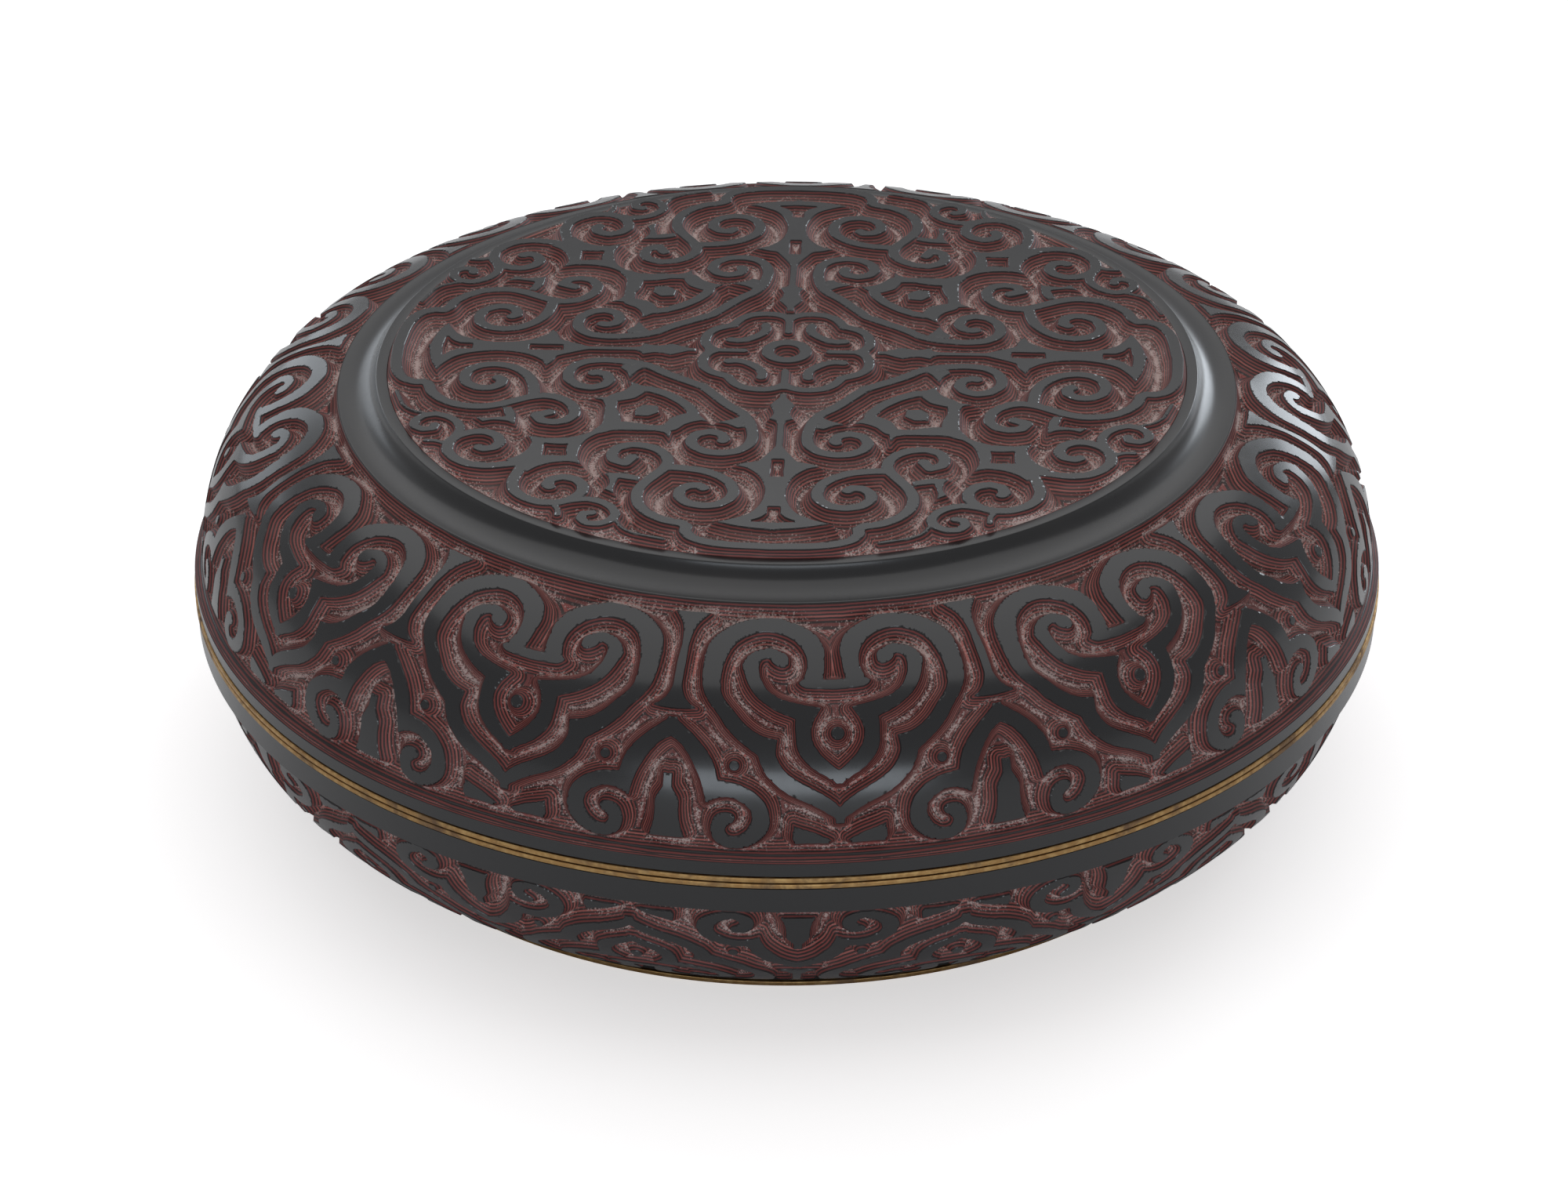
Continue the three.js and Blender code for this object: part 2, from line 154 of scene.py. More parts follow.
# %% One eighth of the round field
RIBBON = 1.5  # half the width of a carved ribbon
DRAWING_SCALE = 0.984
field_ribbons = [
    # the lobe of the flower and its inner stem
    (
        [(0, 15.0), (1.0, 16.2), (3, 17.2), (5.3, 17.4), (8, 16.8), (10, 15.2), (11.2, 13.2), (11.8, 11.8)],
        1.4,
    ),
    ([(0, 16.5), (0, 9.0)], 1.1),
    # the small curl on the diagonal
    ([(4.9, 12.0), (4.7, 10.3), (5.3, 8.4), (6.7, 6.7)], 1.35),
    # the long ribbon from the diagonal with its curl
    (
        [
            (16.6, 16.6), (14.8, 19.2), (12, 23.3), (10, 25.8), (8, 28.0), (6.5, 31.2), (5.8, 34.5),
            (5.5, 38), (6.2, 41.5), (8.3, 44), (11.3, 45), (14.5, 44.5), (17, 42.4), (17.8, 39.6),
            (16.6, 37.2), (14.2, 36.2), (11.9, 37), (11.1, 38.9), (11.4, 39.8),
        ],
        RIBBON,
    ),
    # the ribbon round the star
    (
        [
            (22, 22), (20.2, 24), (18.4, 27), (17.9, 29.5), (20, 32), (22, 34.8), (26, 35), (30, 34.8),
            (34, 35.2), (36.5, 36.5),
        ],
        RIBBON,
    ),
    # the scroll that runs on as the outer ribbon of the cross
    (
        [
            (29.0, 47.3), (30.3, 49.9), (32.6, 48.6), (33.2, 46), (32.2, 43.6), (29.6, 42.2), (26.6, 42.6),
            (24, 44.2), (22.3, 46.6), (21.8, 49.2), (22.6, 52), (24.2, 54.8), (25.8, 57.6), (26.9, 60.6),
            (27.0, 63.5), (26.2, 66.8), (24.2, 69.8), (21.2, 72.2), (17.8, 73.4), (16.6, 74.5),
            (16.7, 76.3), (15.4, 78.7), (12.5, 80.4), (8, 81.4), (0, 81.9),
        ],
        RIBBON,
    ),
    # the great scroll beside the axis
    (
        [
            (21.8, 51.2), (18, 51.6), (14.3, 52.6), (11.2, 54.6), (9.0, 57.3), (8.2, 60.6), (8.9, 63.6),
            (11, 65.8), (14, 66.4), (17, 65.4), (18.7, 63), (18.7, 60.5), (17.2, 58.7), (15, 58.4),
            (14.2, 59.4),
        ],
        RIBBON,
    ),
    # the scroll on the diagonal and the small one that leaves it
    (
        [
            (50.6, 51.5), (51.3, 54.5), (51.9, 58), (51.2, 61.6), (49, 64.4), (45.8, 66.2), (42.3, 66.2),
            (39.6, 64.6), (38, 62), (37.9, 59.3), (39.4, 57), (42, 56), (44.3, 57), (45, 59), (44.4, 60),
        ],
        RIBBON,
    ),
    (
        [
            (42.5, 66.5), (39.5, 65.2), (36.5, 64.7), (33.6, 65.8), (31.6, 67.8), (30.6, 70.3),
            (31.5, 72.8), (33.6, 74.2), (35.9, 74), (37.2, 72.2), (36.8, 70.3), (35.3, 70),
        ],
        1.3,
    ),
    ([(30.6, 70.3), (30.2, 73), (28.8, 75.8), (26.5, 77.6), (23.8, 78.6), (20.8, 79.6)], 0.7),
    ([(42.9, 67), (42, 69), (41.9, 71)], 0.9),
]
field_patches = [
    # the leaf on the axis with its thin stem, running on into the cross bar
    [
        (-1, 18.8), (0, 18.8), (1.3, 21.2), (2.4, 23.2), (2.8, 24.4), (2.2, 26), (2.0, 28), (2.8, 30.2),
        (1.4, 31.2), (0.8, 33), (0.7, 37), (0.9, 41), (1.6, 43), (2.9, 45.6), (4.2, 47.8), (6.6, 48.6),
        (9.2, 50.1), (6.6, 51.0), (4.6, 53.0), (3.2, 55.6), (2.5, 58.5), (2.4, 61.5), (2.9, 64.5),
        (3.9, 67.2), (5.3, 69.2), (7.3, 70.6), (9.5, 71.8), (11.7, 72.5), (8.0, 74.1), (4, 75.1),
        (0, 75.6), (-1, 75.6),
    ],
    # the spurs between the long ribbon and the star
    [(8, 28.5), (10, 30.3), (12, 31.3), (13.9, 32.2), (11, 33), (8.8, 34.6), (6.8, 34)],
    [(14.2, 32.2), (15.3, 30.5), (17, 28.5), (19.5, 31.5), (21, 35), (18, 32.6), (16, 31.8)],
    [(21.7, 34), (21.7, 36), (22.2, 40), (23.5, 37.2), (26, 36.3), (26, 34)],
    # the thorn in the flower's corner
    [(11.8, 12.9), (10.9, 10.9), (12.9, 11.8), (13, 13)],
    # the star's rim and the island in it
    [
        (17.6, 28.5), (19.6, 28.2), (22.6, 30.3), (24.3, 34.5), (28.5, 32.8), (32.3, 32.2), (34.5, 33.5),
        (34, 36.4), (24, 36.3), (21, 33.6), (18.6, 31),
    ],
    [(25.2, 25.2), (28.3, 24.8), (30.2, 27), (30, 30), (27, 30.2), (24.8, 28.3)],
    # the plate round the small square window
    [
        (33.6, 33.0), (34, 36.6), (36.6, 38.2), (38.4, 40.4), (39.5, 43.5), (39.7, 47.5), (38.5, 51.2),
        (41.5, 50), (45, 50.7), (47.6, 52.4), (49.3, 54.6), (52.6, 51.8), (47.6, 47.0), (42.5, 46.9),
        (42.5, 42.1),
    ],
    # the web between the scrolls
    [
        (26.5, 55.2), (29.8, 53.9), (34.6, 53.7), (33.4, 55.8), (33.1, 58.4), (33.9, 60.6), (31.2, 62.8),
        (31.6, 59.6), (30.9, 56.4), (27, 57.4),
    ],
]
field_windows = [
    [(-1, 47.4), (0, 47.4), (0.95, 50.6), (0, 54), (-1, 54)],
    [(-1, 66.6), (0, 66.6), (0.9, 68.8), (2.2, 70.8), (4.0, 72.0), (0, 72.3), (-1, 72.3)],
]
CENTRE_RING = (3.95, 1.15)  # radius and half width of the flower's ring
print("%d ribbons and %d patches in one eighth" % (len(field_ribbons), len(field_patches)))

# %% [markdown]
# ## The drawing of the shoulder
#
# Twelve cloud heads stand round the shoulder: two scrolls joined by a crescent over a pointed
# heart with an eye. Between two heads stands a small arch with a curl to each side. Ribbons of one
# width would look stiff here, because the knife let these forms swell, so all are outlines. A head
# is symmetrical, and half of it is drawn. Points are (degrees from the head's axis, walked length
# from the mouth). The same drawing, pressed a little flatter, runs round the base upside down.

# %% Half of one head
HEADS = 12
HALF_STEP = 360 / HEADS / 2
head_patches = {
    "outer": [
        (-0.4, 36.9), (1.4, 37.0), (2.9, 37.3), (3.5, 38.3), (3.0, 39.2), (2.75, 40.5), (2.6, 42),
        (2.65, 43.5), (2.95, 45.2), (3.5, 46.8), (4.2, 48), (5.2, 49), (6.2, 49.5), (7.2, 49.5),
        (8.2, 48.9), (9.0, 48), (9.7, 46.8), (10.2, 45.3), (10.5, 43.8), (10.75, 42), (10.85, 40.5),
        (10.9, 39), (10.85, 37.5), (10.75, 36.2), (10.4, 34.9), (9.8, 33.5), (9.2, 32.2), (8.7, 31),
        (8.1, 29.9), (7.4, 28.9), (6.7, 28.2), (5.9, 27.8), (5.4, 27.6), (5.5, 26.5), (5.55, 25),
        (5.35, 23.8), (4.9, 22.3), (4.3, 21), (3.55, 19.9), (2.7, 18.9), (1.85, 17.9), (1.0, 16.8),
        (0.35, 15.7), (0, 14.8), (-0.4, 14.8), (-0.4, 11.4), (0, 11.4), (0.35, 12.4), (0.95, 13.4),
        (1.85, 14.6), (2.7, 15.6), (3.65, 16.5), (4.5, 17.5), (5.3, 18.7), (6.0, 20.1), (6.5, 21.3),
        (6.75, 22.4), (7.0, 23.6), (7.2, 24.7), (7.6, 25.3), (8.2, 26.2), (8.95, 27.4), (9.65, 28.7),
        (10.15, 29.8), (10.6, 31.1), (11.0, 32.2), (11.5, 33.3), (11.9, 34.3), (12.25, 35.4),
        (12.55, 36.7), (12.7, 38), (12.8, 39.5), (12.85, 41), (12.85, 42.5), (12.8, 44.2),
        (12.65, 45.8), (12.45, 47), (12.1, 48.1), (11.7, 49.1), (11.1, 50.2), (10.4, 51.1),
        (9.7, 51.9), (8.8, 52.5), (7.4, 53.0), (6.0, 53.1), (5.1, 52.9), (4.4, 52.4), (3.6, 51.7),
        (2.8, 50.8), (2.1, 49.9), (1.5, 48.8), (1.1, 47.4), (0.85, 46.2), (0.75, 45), (0.8, 43.5),
        (0.85, 42), (0.95, 40.3), (1.1, 38.8), (-0.4, 38.8),
    ],
    "inner": [
        (4.4, 43.0), (4.4, 43.6), (4.65, 44.4), (5.2, 45.1), (5.9, 45.6), (6.7, 45.7), (7.5, 45.25),
        (8.2, 44.4), (8.7, 43.3), (9.0, 42.1), (8.9, 41), (8.7, 40), (8.5, 38.9), (8.25, 37.8),
        (7.9, 36.7), (7.5, 35.7), (6.95, 34.7), (6.25, 33.7), (5.5, 32.8), (4.7, 32.1), (3.8, 31.4),
        (3.85, 30), (3.8, 28.5), (3.75, 27), (3.6, 25.6), (3.3, 24.4), (2.8, 23.2), (2.15, 22.0),
        (1.4, 21.0), (0.7, 20.1), (0, 19.3), (-0.4, 19.3), (-0.4, 21.9), (0, 21.9), (0.45, 22.6),
        (0.95, 23.5), (1.45, 24.5), (1.85, 25.6), (2.15, 26.7), (2.35, 27.9), (2.4, 29), (2.3, 30.1),
        (2.1, 31.2), (1.75, 32.4), (1.4, 33.4), (1.75, 33.65), (2.5, 33.9), (3.5, 34.3), (4.5, 34.8),
        (5.3, 35.4), (5.9, 36.1), (6.4, 36.9), (6.65, 37.6), (6.95, 38.6), (7.2, 39.8), (7.3, 41),
        (7.25, 42.2), (7.0, 43.1), (6.5, 43.5), (6.2, 43.2), (6.05, 42.6), (5.7, 42), (5.3, 41.6),
        (4.9, 41.5), (4.55, 41.8), (4.4, 42.4),
    ],
    "spade": [
        (15.4, 53.6), (13.0, 53.6), (13.6, 52.2), (14.1, 50.8), (14.4, 49), (14.55, 47), (14.66, 45),
        (14.72, 42.5), (14.7, 40), (14.62, 38), (14.5, 36.5), (14.25, 35.2), (13.85, 34),
        (13.25, 33.1), (12.9, 32.75), (13.9, 32.5), (15.4, 32.4),
    ],
    "arch": [
        (15.4, 30.9), (15, 30.8), (14.45, 30.3), (13.9, 29.4), (13.2, 28.3), (12.6, 27.2), (12.1, 26.2),
        (11.7, 25.2), (11.4, 24.3), (11.1, 23.2), (10.9, 22.2), (10.75, 21.2), (10.65, 20.2),
        (10.55, 19.7), (9.8, 19.6), (9.0, 19.3), (8.3, 18.8), (7.55, 18), (6.95, 17), (6.55, 16),
        (6.25, 14.8), (6.1, 13.5), (6.05, 12.2), (6.1, 11), (6.25, 10), (6.55, 9), (6.95, 8.1),
        (7.5, 7.3), (8.1, 6.7), (8.8, 6.4), (9.5, 6.4), (10.1, 6.8), (10.65, 7.5), (10.95, 8.4),
        (11.1, 9.5), (11.15, 10.6), (11.05, 11.8), (10.85, 12.7), (10.45, 13.4), (9.9, 13.7),
        (9.4, 13.6), (9.1, 13.1), (9.05, 12.5), (9.2, 11.8), (9.6, 11.1), (9.85, 10.5), (9.85, 9.8),
        (9.6, 9.1), (9.15, 8.9), (8.6, 9.3), (8.1, 10.2), (7.8, 11.2), (7.6, 12.2), (7.6, 13.3),
        (7.8, 14.4), (8.3, 15.4), (8.9, 16.2), (9.6, 16.6), (10.3, 16.5), (11.0, 16.0), (11.6, 15.2),
        (11.7, 16.2), (11.85, 17.6), (12.05, 19), (12.3, 20.4), (12.65, 21.8), (13.0, 23.2),
        (13.4, 24.5), (13.8, 25.5), (14.25, 26.4), (15, 27.3), (15.4, 27.3),
    ],
    "wedge": [
        (15.4, 20.5), (15, 20.3), (14.9, 19.4), (14.7, 18.4), (14.4, 17.2), (14.05, 16), (13.95, 15.2),
        (13.95, 13.5), (13.9, 12), (13.8, 10.5), (13.6, 9), (13.45, 8.1), (13.8, 7.9), (15.4, 7.9),
    ],
    "corner": [
        (4.0, 11.2), (3.7, 10.9), (3.0, 10.4), (2.1, 9.7), (1.35, 8.9), (0.7, 8.0), (1.1, 7.5),
        (2.0, 7.6), (3.0, 7.6), (3.9, 7.5), (4.1, 8.5), (4.05, 10),
    ],
}
# round spots: angle, walked length, radius
head_spots = [(0, 28.6, 1.25), (9.2, 22.6, 0.95)]
print("half a head has %d outlines" % len(head_patches))

# %% [markdown]
# ## From a drawing to cuts
#
# A carver leaves the drawing standing and runs a V-shaped cut between its edges. Each cut could be
# swept along its own middle line, but cuts meet and fork everywhere. So the depth at any place
# follows from one number instead: how far it is to the nearest edge of the drawing. That number is
# measured straight through space, so that the cuts keep their slope where the skin is curved.

# %% Smooth outlines
LINE_STEP = 0.25  # length of the short straight steps of an outline


def densify(points, step, closed=False):
    """Smooth line through a few points: short straight steps of a cubic curve."""
    p = np.array(points, float)
    if closed:
        p = np.vstack([p[-1:], p, p[:2]])
    else:
        p = np.vstack([2 * p[0] - p[1], p, 2 * p[-1] - p[-2]])
    out = []
    for a, b, c, d in zip(p, p[1:], p[2:], p[3:]):
        n = max(2, int(np.linalg.norm(c - b) / step))
        t = np.linspace(0, 1, n, endpoint=False)[:, None]
        # a sharp corner stays sharp: the tangents shrink with the turn
        turn = lambda u, v: max(0.0, float(np.dot(u, v) / (np.linalg.norm(u) * np.linalg.norm(v) + 1e-9)))
        m1 = (c - a) / 2 * turn(b - a, c - b) ** 2
        m2 = (d - b) / 2 * turn(c - b, d - c) ** 2
        out.append(
            (2 * t**3 - 3 * t**2 + 1) * b + (t**3 - 2 * t**2 + t) * m1
            + (3 * t**2 - 2 * t**3) * c + (t**3 - t**2) * m2
        )
    if not closed:
        out.append(p[-2:-1])
    return np.vstack(out)


def inside(points, outline):
    """Which points lie inside a closed outline, by counting the edges to their right."""
    x, y = points.T
    odd = np.zeros(len(points), bool)
    for (ax, ay), (bx, by) in zip(outline, np.roll(outline, -1, axis=0)):
        if ay != by:
            odd ^= ((ay > y) != (by > y)) & (x < ax + (y - ay) * (bx - ax) / (by - ay))
    return odd


lobe = densify(field_ribbons[0][0], LINE_STEP)
print("the flower's lobe: %d points drawn, %d after smoothing" % (len(field_ribbons[0][0]), len(lobe)))


# %% Distance to the drawing
def nearest(points, targets, less=0.0, chunk=1500):
    """Least distance from each point to the targets, each taken nearer by its own half width."""
    less = np.broadcast_to(less, len(targets))
    size = (targets**2).sum(1)
    out = np.empty(len(points))
    for i in range(0, len(points), chunk):
        p = points[i : i + chunk]
        d2 = (p**2).sum(1)[:, None] + size - 2 * p @ targets.T
        out[i : i + chunk] = (np.sqrt(np.maximum(d2, 0)) - less).min(1)
    return out


class Drawing:
    """Ribbons, patches and windows in the flat frame of a surface, with their places in space."""

    def __init__(self, to_space):
        self.to_space = to_space
        self.ribbon_points, self.ribbon_half = [], []
        self.patches, self.windows = [], []

    def ribbon(self, points, half):
        self.ribbon_points.append(self.to_space(points))
        self.ribbon_half.append(np.full(len(points), half))

    def patch(self, outline, window=False):
        edge = self.to_space(outline)
        (self.windows if window else self.patches).append((outline, edge))

    def measure(self, flat):
        """Signed distance to the drawing's edge: positive in the cuts."""
        space = self.to_space(flat)
        far = np.full(len(flat), 1e3)
        if self.ribbon_points:
            far = nearest(space, np.vstack(self.ribbon_points), np.concatenate(self.ribbon_half))
        for outline, edge in self.patches:
            d = nearest(space, edge)
            far = np.minimum(far, np.where(inside(flat, outline), -d, d))
        for outline, edge in self.windows:
            d = nearest(space, edge)
            far = np.maximum(far, np.where(inside(flat, outline), d, -d))
        return far


spot = Drawing(lambda flat: np.column_stack([flat, np.zeros(len(flat))]))
spot.ribbon(np.zeros((1, 2)), 1.25)
print("2 mm from the middle of a spot, its edge is %.2f mm away" % spot.measure(np.array([[2.0, 0.0]]))[0])

# %% The slope of a cut
SLOPE = 1.25  # the fall of a cut's side
DEEP = 2.8  # the depth below which a wide cut flattens
FLATTER = 0.35
DEEPEST = 3.7
FIELD_LEAN, HEAD_LEAN = 0.42, 0.12  # how far the cuts reach into the drawing's edges


def fall(distance):
    """Depth of a cut at a distance from the edge."""
    steep = SLOPE * distance
    return np.minimum(np.where(steep < DEEP, steep, DEEP + (steep - DEEP) * FLATTER), DEEPEST)


print("a cut 5 mm wide is %.1f mm deep" % fall(np.array(2.5)))

# %% [markdown]
# ## A tile of carved skin
#
# One eighth of the field, or half of one head, becomes a tile: rows of vertices along the skin,
# stitched into triangles. A subdivided plate with a displacement would do for soft relief, but its
# squares would fray every edge of the drawing. So the vertices nearest to an edge are moved onto
# it, and the edges run clean. An underside at the coat's thickness lets whole coats come out closed.

# %% Rows and stitches
GRID = 0.36  # spacing of the vertices
UNDER_STEPS, RIM_STEPS, BAND_STEPS = 2, 10, 12  # plain rows need few steps across


class Tile:
    """Rows of vertices that all span the same angle. Rows after the carved ones close it beneath."""

    def __init__(self, angle):
        self.angle = angle
        self.rows = []  # (first index, count) of each row
        self.flat = []  # row value and angle of each vertex
        self.count = 0

    def row(self, value, length):
        n = max(1, round(length / GRID))
        a = np.linspace(0, self.angle, n + 1) if length > 0 else np.zeros(1)
        self.rows.append((self.count, len(a)))
        self.flat.append(np.stack([np.full(len(a), value), a], 1))
        self.count += len(a)

    def done(self):
        self.flat = np.vstack(self.flat)

    def ids(self, k):
        first, n = self.rows[k]
        return np.arange(first, first + n)

    def edge_ids(self, last=True):
        return np.array([f + (n - 1 if last else 0) for f, n in self.rows])


def stitch(a, b):
    """Triangles between two rows that start and end together."""
    out, i, j = [], 0, 0
    n, m = len(a) - 1, len(b) - 1
    while i < n or j < m:
        if j == m or (i < n and (i + 0.5) * m < (j + 0.5) * n):
            out.append((a[i], a[i + 1], b[j]))
            i += 1
        else:
            out.append((a[i], b[j + 1], b[j]))
            j += 1
    return out


def stitch_rows(tile, loop):
    k = len(tile.rows)
    pairs = [(i, i + 1) for i in range(k - 1)] + ([(k - 1, 0)] if loop else [])
    return np.array([t for i, j in pairs for t in stitch(tile.ids(i), tile.ids(j))])


print("rows of 5 and of 3 vertices make %d triangles" % len(stitch(range(5), range(5, 8))))


# %% Move vertices onto the edges
SNAP_REACH = 0.48 * GRID  # how far a vertex moves at most
SNAP_SLOPE = 0.75  # below this the distance has a ridge and shows no way


def gradient(x, y, tris, value):
    """Mean slope of a value over the triangles round each vertex. x and y are given per corner."""
    x0, x1, x2 = x.T
    y0, y1, y2 = y.T
    v0, v1, v2 = value[tris].T
    area = (x1 - x0) * (y2 - y0) - (x2 - x0) * (y1 - y0)
    gx = (v1 - v0) * (y2 - y0) - (v2 - v0) * (y1 - y0)
    gy = (v2 - v0) * (x1 - x0) - (v1 - v0) * (x2 - x0)
    side = np.sign(area)
    total = np.zeros((len(value), 3))
    for c in range(3):
        np.add.at(total, tris[:, c], np.stack([gx * side, gy * side, np.abs(area)], 1))
    return total[:, :2] / np.maximum(total[:, 2:], 1e-9)


def snap(move, distance, slope):
    """How far vertices move so that the ones near an edge of the drawing lie on it."""
    steep = np.linalg.norm(slope, axis=1)
    near = (np.abs(distance) < SNAP_REACH) & (steep > SNAP_SLOPE)
    step = np.where(near[:, None], -distance[:, None] * slope / np.maximum(steep, 1e-6)[:, None] ** 2, 0)
    move(step)
    return np.where(near, 0, distance)


print("a vertex moves %.2f mm at most" % SNAP_REACH)

# %% [markdown]
# ## What the colour has to know
#
# The lacquer's colour depends on how deep the knife went, and pale dust lies where the two sides of
# a cut meet. Both could be painted, but both follow from the shape, so the tile carries them as two
# numbers on its vertices. The depth goes on below zero on the uncut tops, so that the black ends in
# a clean line between two vertices.

# %% Depth and crease
CREASE_FROM, CREASE_OVER = 0.4, 0.6  # dust starts at this depth and grows over so much more


def dust(slope, depth):
    """One where the two sides of a cut meet, zero on its sides and on the uncut tops."""
    flatness = 1 - np.linalg.norm(slope, axis=1)
    return np.clip(flatness, 0, 1) * np.clip((depth - CREASE_FROM) / CREASE_OVER, 0, 1)


def colour_depth(distance, depth):
    """The depth that the colour follows: below zero on the tops, as deep as the cut elsewhere."""
    return np.where((depth == 0) & (distance < 0), SLOPE * distance, np.abs(depth))


def spread(value, tris, less=0.72, times=5):
    """A value that dwindles from each vertex to its neighbours."""
    a, b = tris.ravel(), np.roll(tris, 1, axis=1).ravel()
    for _ in range(times):
        wider = value.copy()
        np.maximum.at(wider, a, value[b] * less)
        np.maximum.at(wider, b, value[a] * less)
        value = wider
    return value


print("depth for the colour, 0.5 mm inside a top: %.2f mm" % colour_depth(np.array(-0.5), np.array(0)))

# %% [markdown]
# ## The tile of the round field
#
# The field is a flat disc a little over 160 mm wide, and its carving runs up to a narrow ledge. The
# whole disc could be cut at once, but its eight parts are alike, so one slice from the middle to
# the ledge is enough. The drawing is folded round the slice first, so that a scroll of the next
# part that leans over the border is cut here too.

# %% One eighth as a tile
MIDDLE = 9  # radius within which the flower's ring lies


def field_drawing():
    drawing = Drawing(lambda p: np.stack([p[:, 0], -p[:, 1], np.zeros(len(p))], 1))
    line = lambda points, **kind: densify(np.array(points) * DRAWING_SCALE, LINE_STEP, **kind)
    folds = [np.array(m) for m in ([[1, 0], [0, 1]], [[-1, 0], [0, 1]], [[0, 1], [1, 0]], [[0, 1], [-1, 0]])]
    for fold in folds:
        for points, half in field_ribbons:
            drawing.ribbon(line(points) @ fold, half)
        for points in field_patches:
            drawing.patch(line(points, closed=True) @ fold)
    for fold in folds[:2]:
        for points in field_windows:
            drawing.patch(line(points, closed=True) @ fold, window=True)
    return drawing


def field_tile():
    eighth = math.pi / 4
    edge = BOX_RADIUS - SHOULDER_REACH - CHANNEL_WIDTH - LEDGE_WIDTH
    drawing = field_drawing()
    tile = Tile(eighth)
    radii = np.linspace(0, edge, round(edge / GRID) + 1)
    for r in radii:
        tile.row(r, r * eighth)
    carved = len(tile.rows)
    # the underside has as many rows as the top, so that the end faces run straight down
    for r in radii[:0:-1]:
        tile.row(r, GRID * (RIM_STEPS if r == edge else UNDER_STEPS))
    tile.row(0, 0)
    tile.done()
    tris = stitch_rows(tile, loop=False)[:, ::-1]

    top = tile.rows[carved][0]
    flat = np.stack([tile.flat[:, 0] * np.sin(tile.flat[:, 1]), tile.flat[:, 0] * np.cos(tile.flat[:, 1])], 1)
    on_top = tris[(tris < top).all(1)]
    distance = np.zeros(tile.count)
    distance[:top] = drawing.measure(flat[:top]) + FIELD_LEAN
    ring, half = CENTRE_RING
    r = tile.flat[:, 0]
    distance = np.where(r < MIDDLE, np.minimum(distance, np.abs(r - ring) - half), distance)

    start, end = tile.edge_ids(last=False), tile.edge_ids()

    def move(step):
        step[start, 0] = 0
        step[end] = step[end].mean(1, keepdims=True)
        step[tile.ids(carved - 1)] = 0
        step[top:] = 0
        step[0] = 0
        flat[:] += step

    corners = lambda: (flat[on_top][..., 0], flat[on_top][..., 1])
    distance = snap(move, distance, gradient(*corners(), on_top, distance))
    to_ledge = edge - np.hypot(*flat.T) + LEDGE_DROP / SLOPE
    reach = np.clip(distance, 0, np.maximum(to_ledge, 0))
    depth = fall(reach)
    depth[tile.ids(carved - 1)] = LEDGE_DROP
    depth[top:] = 0
    crease = spread(dust(gradient(*corners(), on_top, reach), depth), on_top)
    z = np.where(np.arange(tile.count) < top, BOX_TOP - depth, BOX_TOP - FIELD_COAT)
    space = np.stack([flat[:, 0], -flat[:, 1], z], 1)
    outer, inner = end[:carved], end[carved:][::-1]
    shade = colour_depth(distance, depth)
    shade[top:] = 0
    return space, tris, shade, crease, (outer, inner)


tiles = {"field": field_tile()}
print("tile of the field: %d triangles" % len(tiles["field"][1]))

# %% [markdown]
# ## The tile of half a head
#
# The shoulder and the base's wall are curved. A head could be cut flat and bent round afterwards,
# but its cuts would stretch and tilt. So this tile follows the skin: its rows lie at equal walked
# lengths, from the plain band at the mouth to the far end of the curve. The band stands proud of
# the carving and its edge slopes down to it, and on the lid the carving runs out at the channel.

# %% Half a head as a tile
DEGREE_WIDTH = 1.9  # about how many millimetres one degree spans on the shoulder
PRESSED = 0.74  # the base's heads are shorter than the lid's
HEAD_FOOT = 6.4  # walked length of the lowest curl on the lid
BASE_HEAD_FOOT = 8.3  # and on the base


def head_drawing(skin, press):
    drawing = Drawing(lambda p: skin.place(p[:, 1], np.radians(p[:, 0])))
    across = np.array([DEGREE_WIDTH, 1.0])
    for sign, shift in [(1, 0), (-1, 0), (-1, 2 * HALF_STEP)]:
        for points in head_patches.values():
            p = np.array(points, float)
            p = np.stack([sign * p[:, 0] + shift, press(p[:, 1])], 1)
            drawing.patch(densify(p * across, LINE_STEP, closed=True) / across)
        for angle, s, radius in head_spots:
            drawing.ribbon(np.array([[sign * angle + shift, press(s)]]), radius)
    return drawing


